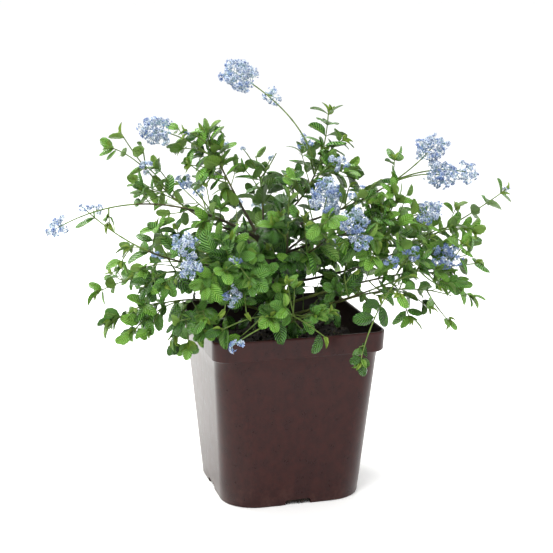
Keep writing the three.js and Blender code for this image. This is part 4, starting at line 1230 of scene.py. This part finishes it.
def makeBarkFinish(name, dark, pale, fleck, share):
    made = Finish(name, IOR=1.45)
    where = made.place()
    streak = made.noise(made.stretched(where, (900, 900, 160)), 1.0, 5, 0.65)
    patch = made.noise(where, 120.0, 3)
    spots = made.noise(where, 850.0, 2).ramp(0.6, 0.7)
    base = made.mix((streak * 0.5 + patch * 0.5).ramp(0.38, share), dark, pale)
    made.give("Base Color", made.mix(spots * 0.55, base, fleck))
    made.give("Roughness", 0.55 + streak * 0.3)
    made.bump(streak * 0.8 + spots * 0.3, 0.7, 0.0005)
    return made


# twigs

twigSides = {"stem": 8, "shoot": 7, "side": 6, "more": 6, "fine": 5}


def makeTwigs(masses):
    woody, green = Heap(), Heap()
    for mass in masses:
        for one in mass.twigs:
            curve, radius = one["curve"], one["radius"]
            length = curve.length()
            tip = twig["tipRadius"] * (finer["tip"] if one["kind"] == "fine" else 1)
            parts = [(0, 1, green)]
            if one["kind"] == "stem":  # woody at its lower end
                parts = [(-stem["sunk"] / length, stem["woodyTo"], woody), (stem["greenFrom"], 1, green)]
            for first, last, heap in parts:
                rings = int((last - first) * length / twig["ringStep"]) + 1
                share = np.linspace(first, last, max(4, rings))
                radii = radius * twig["foot"] + (tip - radius) * share
                scars = np.maximum(0, np.sin(share * length / twig["scarStep"] + mass.order)) ** 8
                tube(heap, curve.at(share), radii * (1 + twig["scar"] * scars), twigSides[one["kind"]])
    return woody.piece("woody_stems", 60), green.piece("green_twigs", 60)


# leaves

blade = {
    "rows": (0, 0.07, 0.15, 0.26, 0.38, 0.51, 0.64, 0.76, 0.87, 0.955),
    "halves": (0.06, 0.08, 0.47, 0.80, 0.97, 1.0, 0.97, 0.87, 0.69, 0.43),
    "young": (0.06, 0.09, 0.42, 0.80, 1.0, 0.97, 0.82, 0.62, 0.40, 0.18),
    "tooth": 0.05, "ridge": 0.06, "edgeRidge": 0.3, "swell": 0.04, "thick": 0.016, "stalkThick": 1.6,
    "hang": 0.22, "turnOut": 0.8, "outShare": 0.8, "upShare": 0.2,  # how a drawn leaf turns
    "crown": 240, "crownRise": 0.8, "seed": 77,
    # cup, droop, breadth, twist and outline of each shape, the last one for young leaves
    "shapes": ((0.06, 0.10, 0.57, 0.0, "halves"), (-0.07, 0.18, 0.60, 0.3, "halves"),
               (0.15, 0.05, 0.52, -0.35, "halves"), (0.02, 0.26, 0.55, 0.45, "halves"),
               (-0.12, 0.08, 0.62, -0.2, "halves"), (0.14, 0.1, 0.42, 0.2, "young")),
}
tones = {  # upper side dark and light, veins, underside, gloss
    # the deep tone's darkness is partly painted shade of the crown's inside
    "deep": (tint(9, 42, 2), tint(58, 108, 34), tint(112, 150, 68), tint(82, 120, 48), 0.16),
    "mid": (tint(30, 78, 6), tint(93, 149, 58), tint(150, 184, 94), tint(112, 150, 64), 0.16),
    "fresh": (tint(60, 118, 18), tint(120, 174, 64), tint(174, 206, 106), tint(134, 170, 76), 0.17),
    "young": (tint(98, 146, 26), tint(146, 184, 54), tint(176, 204, 88), tint(156, 184, 82), 0.34),
}
toning = {  # one tone for each twig, fresher towards the outside and the top; the deep tone deeper in and lower down is partly older leaves and partly painted shade of the crown's inside
    "out": 150, "from": 200, "up": 260, "loose": 0.28, "deepBelow": 0.6, "midBelow": 1.08,
    "freshTips": 0.3, "youngTips": 0.8,
}


def bladeShape(cup, droop, broad, twist, outline):
    rows = len(blade["rows"])
    points, spots = [], []
    for i, (t, half) in enumerate(zip(blade["rows"], blade[outline])):
        tooth = 1 + blade["tooth"] * (1 if i % 2 else -1) * (i > 1)
        for c in (-1, -0.5, 0, 0.5, 1):
            x = c * half * broad / 2 * (tooth if abs(c) == 1 else 1)
            edge = blade["ridge"] * blade["edgeRidge"] + cup
            rise = {0: 0, 0.5: blade["ridge"] * half, 1: edge * half}[abs(c)]
            z = rise - droop * t * t + blade["swell"] * math.sin(math.pi * t)
            points.append((x * math.cos(twist * t) - z * math.sin(twist * t), t,
                           x * math.sin(twist * t) + z * math.cos(twist * t)))
            spots.append(((c + 1) / 2, t))
    for i, t in enumerate(blade["rows"]):
        x, y, z = points[i * 5 + 2]
        points.append((x, y, z - blade["thick"] * (blade["stalkThick"] if i < 2 else 1)))
        spots.append((0.5, t))
    points.append((0, 1, -droop))
    spots.append((0.5, 1))
    tip, under = len(points) - 1, rows * 5
    quads, quadSpots, triangles, triangleSpots = [], [], [], []

    def addFace(corners, below):  # the underside's spots lie 2 further along
        face, where = (quads, quadSpots) if len(corners) == 4 else (triangles, triangleSpots)
        face.append(corners)
        where.append([(spots[k][0], spots[k][1] + (2 if below else 0)) for k in corners])

    for i in range(rows - 1):
        a, b = i * 5, (i + 1) * 5
        for c in range(4):
            addFace((a + c, a + c + 1, b + c + 1, b + c), False)
        addFace((a, b, under + i + 1, under + i), True)
        addFace((under + i, under + i + 1, b + 4, a + 4), True)
    last = (rows - 1) * 5
    for c in range(4):
        addFace((last + c, last + c + 1, tip), False)
        addFace((under, c + 1, c), True)
    addFace((last, tip, under + rows - 1), True)
    addFace((under + rows - 1, tip, last + 4), True)
    return {"points": np.array(points), "quads": np.array(quads), "quadsSpots": np.array(quadSpots),
            "triangles": np.array(triangles), "trianglesSpots": np.array(triangleSpots)}


def toneOf(one, random):
    isYoung = one["kind"] == "young"
    if isYoung or (one["kind"] == "tip" and random.random() < toning["freshTips"]):
        return "young" if isYoung and random.random() < toning["youngTips"] else "fresh"
    grower = one["twig"]
    if "tone" not in grower:
        # twigs deeper in and lower down take darker tones, partly as painted shade
        x, y, z = one["root"]
        value = math.hypot(x, y) / toning["out"] + (z - toning["from"]) / toning["up"]
        value += random.normal(0, toning["loose"])
        grower["tone"] = ("deep" if value < toning["deepBelow"]
                          else "mid" if value < toning["midBelow"] else "fresh")
    return grower["tone"]


def turnedOut(one):  # a drawn leaf hangs a little and turns its face out of the crown
    points = unit(one["points"] - up * blade["hang"])
    x, y, z = one["root"]
    outward = unit(np.array((x, y, max(0, z - blade["crown"]) * blade["crownRise"])))
    face = one["face"] + (outward * blade["outShare"] + up * blade["upShare"]) * blade["turnOut"]
    return points, unit(face - points * (face @ points))


def makeLeaves(masses):
    random = np.random.default_rng(blade["seed"])
    shapes = [bladeShape(*row) for row in blade["shapes"]]
    young = len(shapes) - 1
    piles = {tone: [[] for _ in shapes] for tone in tones}
    for mass in masses:
        for one in mass.leaves:
            tone = toneOf(one, random)
            k = young if one["kind"] == "young" else int(random.integers(0, young))
            length = one["length"] * (leaf["drawn"] if one["kind"] == "grown" else 1)
            points, face = turnedOut(one)
            axes = np.stack([np.cross(points, face), points, face]) * length
            piles[tone][k].append((one["root"], axes))
    print("leaves:", {tone: sum(map(len, some)) for tone, some in piles.items()})
    pieces = []
    for tone, some in piles.items():
        heap = Heap()
        for shape, pile in zip(shapes, some):
            if pile:
                heap.addCopies(shape, *(np.array(part) for part in zip(*pile)))
        pieces.append((tone, heap.piece(f"leaves_{tone}", 50)))
    return pieces


def makeLeafFinish(tone):
    dark, light, vein, under, gloss = tones[tone]
    made = Finish(f"leaf_{tone}", IOR=1.47)
    where = made.place()
    across, along = made.split(made.node("ShaderNodeTexCoord", out="UV"), 0, 1)
    below = along.ramp(1.4, 1.6)
    half = (across - 0.5).size() * 2
    arc = (half - (along * math.pi).maths("SINE").size() * 0.46).size()
    rib = 1 - half.ramp(0.0, 0.10)
    side = 1 - arc.ramp(0.0, 0.07)
    swellAndPaintedShade = ((along * 8.5 - half * 2.4) * math.pi).maths("SINE").size()  # the swell between side veins
    mottle = made.noise(where, 95.0, 3)
    # painted highlight and painted shade: the swells between the side veins are lighter and the sunken
    # veins darker
    base = made.mix((mottle * 0.75 + swellAndPaintedShade * 0.42 - 0.17).ramp(0.3, 0.62), dark, light)
    # the vein colour also lies on the swells' crests as a painted highlight
    base = made.mix(swellAndPaintedShade.ramp(0.75, 1.0) * 0.2 + rib * 0.45 + side * 0.15, base, vein)
    made.give("Base Color", made.mix(below * 0.85, base, under))
    made.give("Roughness", gloss + mottle * 0.12 + below * 0.15)
    made.bump(swellAndPaintedShade - rib * 0.8 - side * 0.4, 1.0, 0.0008)
    return made


# flowers

flowers = {
    "umbelArea": 13, "umbelLeast": 2.6, "umbelMost": 5.2, "umbelShare": 0.36, "inUmbel": 13,
    "floret": 2.3, "bud": 0.75, "stalk": 0.16, "budShare": 0.2,
    "deepShare": {"right_mid": 0.45, "right_low": 1.0, "front_right": 0.8, "centre_front": 0.3},
    "deepElsewhere": 0.15, "paleIfDeep": 0.15, "paleElse": 0.9,
    "spiral": 2.39996,  # the golden angle
    "spiralLoose": 0.4, "spineRadii": (0.55, 0.45, 0.25), "branchRadii": (0.32, 0.26),
    # the head's axis and its umbels' distance from it, as shares of the head's radius
    "axisLong": 1.75, "axisBack": 0.85, "axisDrawn": 0.95, "axisTop": 0.9,
    "wide": 0.66, "wides": (0.7, 1.12), "footBack": 0.18, "stalkBack": 0.35,
    # florets in an umbel, least and most of each share
    "fewest": 3, "crowding": 1.3, "counts": (0.8, 1.2), "lean": 0.75, "reaches": (0.75, 1.08),
    "sizes": (0.8, 1.15), "nod": 0.3, "seed": 404,
}


def shapeFrom(points, faces):
    return {"points": np.array(points), "triangles": np.array(faces)}


def fanBetween(count):  # faces from points 0 and 1 to a ring that starts at point 2
    ring = [(2 + k, 2 + (k + 1) % count) for k in range(count)]
    return [face for a, b in ring for face in ((0, a, b), (1, b, a))]


def floretShape():  # five hooded petals round the middle, twenty faces above and below
    points = [(0, 0, 0.02), (0, 0, -0.1)]
    for k in range(5):
        middle = 2 * math.pi * k / 5
        for turn, reach, z in ((-36, 0.34, 0.02), (-21, 0.82, 0.20), (0, 1.0, 0.08), (21, 0.82, 0.20)):
            angle = middle + math.radians(turn)
            points.append((reach * math.cos(angle), reach * math.sin(angle), z))
    return shapeFrom(points, fanBetween(20))


def heartShape():  # a low dome with five fine stamens
    points = [(0, 0, 0.34), (0, 0, -0.08)]
    points += [(0.24 * math.cos(math.pi * k / 3), 0.24 * math.sin(math.pi * k / 3), 0.06) for k in range(6)]
    faces = fanBetween(6)
    for k in range(5):
        angle = 2 * math.pi * (k + 0.5) / 5
        out = np.array((math.cos(angle), math.sin(angle), 0))
        over = np.array((-math.sin(angle), math.cos(angle), 0))
        foot, top = out * 0.14, out * 0.42 + np.array((0, 0, 0.5))
        start = len(points)
        points += [foot + over * 0.05, foot - over * 0.05, foot + out * 0.08,
                   top + over * 0.09, top - over * 0.09, top + out * 0.12]
        for i in range(3):
            j = (i + 1) % 3
            faces += [(start + i, start + i + 3, start + j), (start + j, start + i + 3, start + j + 3)]
        faces += [(start, start + 1, start + 2), (start + 3, start + 5, start + 4)]
    return shapeFrom([tuple(p) for p in points], faces)


def stalkShape():  # a three-sided needle of length 1 along its third axis
    points = [(math.cos(a), math.sin(a), z) for z in (0, 1) for a in (0, 2 * math.pi / 3, 4 * math.pi / 3)]
    faces = [(0, 2, 1), (3, 4, 5)]
    for i in range(3):
        j = (i + 1) % 3
        faces += [(i, j, j + 3), (i, j + 3, i + 3)]
    return shapeFrom(points, faces)


def axesToward(ahead, random):
    side = unit(np.cross(ahead, random.normal(size=3)))
    return np.stack([side, np.cross(ahead, side), ahead])


# One umbel: florets and buds on thin stalks that leave one point.
def growUmbel(piles, middle, way, size, deep, random):
    share = (size / flowers["umbelMost"]) ** flowers["crowding"]
    count = int(flowers["inUmbel"] * share * random.uniform(*flowers["counts"])) + flowers["fewest"]
    for _ in range(count):
        out = unit(random.normal(size=3) + way * flowers["lean"])
        tip = middle + out * size * random.uniform(*flowers["reaches"])
        root = middle - way * size * flowers["stalkBack"]
        stalk = unit(tip - root)
        isBud = random.random() < flowers["budShare"]
        grown = (flowers["bud"] if isBud else flowers["floret"]) * random.uniform(*flowers["sizes"])
        facing = stalk if isBud else unit(stalk + random.normal(0, flowers["nod"], 3))
        axes = axesToward(facing, random)
        pale = random.random() < (flowers["paleIfDeep"] if deep else flowers["paleElse"])
        name = "flower_buds" if isBud else "petals_pale" if pale else "petals_deep"
        piles[name].append((tip, axes * grown))
        if not isBud:
            piles["flower_hearts"].append((tip, axes * grown))
        thin = np.array((flowers["stalk"], flowers["stalk"], np.linalg.norm(tip - root)))[:, None]
        piles["flower_stalks"].append((root, axesToward(stalk, random) * thin))


# A flower head: a cone of small umbels round its own stalk.
def growHead(piles, rachis, bloom, deepShare, random):
    radius, centre, ahead = bloom["radius"], bloom["centre"], bloom["ahead"]
    umbels = max(1, round(radius * radius / flowers["umbelArea"]))
    small = min(flowers["umbelMost"], max(flowers["umbelLeast"], radius * flowers["umbelShare"]))
    spine = np.array([centre - ahead * radius, centre, centre + ahead * radius * flowers["axisTop"]])
    tube(rachis, spine, np.array(flowers["spineRadii"]), 6)
    side = axesToward(ahead, random)
    for k in range(umbels):
        along = (k + 0.5) / umbels * flowers["axisLong"] - flowers["axisBack"] if umbels > 1 else 0
        angle = k * flowers["spiral"] + random.uniform(-flowers["spiralLoose"], flowers["spiralLoose"])
        outward = side[0] * math.cos(angle) + side[1] * math.sin(angle)
        belly = math.sqrt(max(0.05, 1 - (0.8 * along + 0.1) ** 2))  # widest just below the middle
        wide = radius * flowers["wide"] * belly * random.uniform(*flowers["wides"])
        foot = centre + ahead * radius * (along - flowers["footBack"])
        middle = centre + ahead * radius * along * flowers["axisDrawn"]
        middle += outward * (wide if umbels > 1 else 0)
        way = unit(middle - foot + ahead * 0.01)
        branch = np.array([foot, middle - way * small * flowers["stalkBack"]])
        tube(rachis, branch, np.array(flowers["branchRadii"]), 5)
        deep = random.random() < deepShare
        growUmbel(piles, middle, way, small * random.uniform(*flowers["sizes"]), deep, random)


def makeFlowers(masses):
    random = np.random.default_rng(flowers["seed"])
    ball = lumpShape(3)
    ball["points"] = np.array([unit(p) for p in ball["points"]]) * (1, 1, 1.12)
    shapes = {"petals_pale": floretShape(), "petals_deep": floretShape(), "flower_hearts": heartShape(),
              "flower_buds": ball, "flower_stalks": stalkShape()}
    piles = {name: [] for name in shapes}
    rachis = Heap()
    for mass in masses:
        deepShare = flowers["deepShare"].get(mass.limb["name"], flowers["deepElsewhere"])
        for bloom in mass.blooms:
            growHead(piles, rachis, bloom, deepShare, random)
    pieces = {}
    for name, shape in shapes.items():
        heap = rachis if name == "flower_stalks" else Heap()
        heap.addCopies(shape, *(np.array(part) for part in zip(*piles[name])))
        pieces[name] = heap.piece(name, 40 if name in ("flower_buds", "flower_stalks") else None)
    print("florets:", len(piles["flower_hearts"]), "buds:", len(piles["flower_buds"]))
    return pieces


def makePetalFinish(name, first, second, rough=0.6):
    made = Finish(name, IOR=1.4)
    where = made.place()
    patch = made.noise(where, 260.0, 2)
    made.give("Base Color", made.mix(patch.ramp(0.35, 0.65), first, second))
    made.give("Roughness", rough + patch * 0.15)
    made.bump(made.noise(where, 1600.0, 2), 0.25, 0.0002)
    return made


# everything put together

setUpStudio()
bpy.ops.object.select_all(action="DESELECT")
bpy.ops.mesh.primitive_plane_add(size=studio["floorSize"], location=(0, 0, 0))
floor = bpy.context.object
floor.name = "studio_floor"
floorFinish = Finish("floor_paper", Roughness=0.9)
floorFinish.give("Base Color", studio["floor"])
floor.data.materials.append(floorFinish.material)

keep(makePot(), makePotFinish(), "pot_plastic", "pot")
keep(makeSoil(), makeEarthFinish("compost", tint(20, 15, 12), tint(52, 40, 30), 0.66), "compost", "soil")
crumbs, chips = scatterSoil()
crumbFinish = makeEarthFinish("compost_lumps", tint(17, 13, 10), tint(66, 52, 38), 0.7)
chipFinish = makeEarthFinish("bark_bits", tint(60, 46, 30), tint(134, 116, 78), 0.62)
keep(crumbs, crumbFinish, "compost", "soil")
keep(chips, chipFinish, "compost", "soil")

planned = planLimbs()
brownBoughs = [f"bough_{name}" for name in limbs if name not in bark["green"]]
greenBoughs = [f"bough_{name}" for name in limbs if name in bark["green"]]
brown, green = makeLimbs(planned)
brownBark = makeBarkFinish("bark_brown", tint(28, 24, 15), tint(68, 61, 36), tint(98, 92, 58), 0.66)
greenBark = makeBarkFinish("bark_green", tint(70, 82, 36), tint(128, 140, 66), tint(150, 150, 96), 0.64)
keep(brown, brownBark, "bark", "trunk", *brownBoughs)
keep(green, greenBark, "bark", *greenBoughs)

space = Space(planned)
masses = [Mass(limb, space) for limb in planned]
for mass in masses:
    mass.grow()
print("grown:", sum(len(m.twigs) for m in masses), "twigs", sum(len(m.leaves) for m in masses), "leaves")
massNodes = [f"mass_{name}" for name in limbs]
woody, soft = makeTwigs(masses)
woodyBark = makeBarkFinish("stem_brown", tint(40, 38, 20), tint(84, 84, 40), tint(112, 110, 62), 0.66)
softBark = makeBarkFinish("stem_green", tint(66, 90, 32), tint(106, 130, 52), tint(136, 148, 78), 0.66)
keep(woody, woodyBark, "bark", *massNodes)
keep(soft, softBark, "bark", *massNodes)
for tone, piece in makeLeaves(masses):
    keep(piece, makeLeafFinish(tone), "foliage", *massNodes)
petals = {
    "petals_pale": makePetalFinish("petal_pale", tint(200, 218, 241), tint(236, 243, 250)),
    "petals_deep": makePetalFinish("petal_deep", tint(132, 158, 210), tint(178, 198, 232)),
    "flower_hearts": makePetalFinish("petal_heart", tint(60, 80, 132), tint(104, 126, 178)),
    "flower_buds": makePetalFinish("flower_bud", tint(72, 96, 150), tint(120, 146, 196), 0.5),
    "flower_stalks": makePetalFinish("flower_stalk", tint(122, 150, 150), tint(150, 176, 190)),
}
for name, piece in makeFlowers(masses).items():
    keep(piece, petals[name], "foliage", *massNodes)

bpy.ops.object.select_all(action="DESELECT")
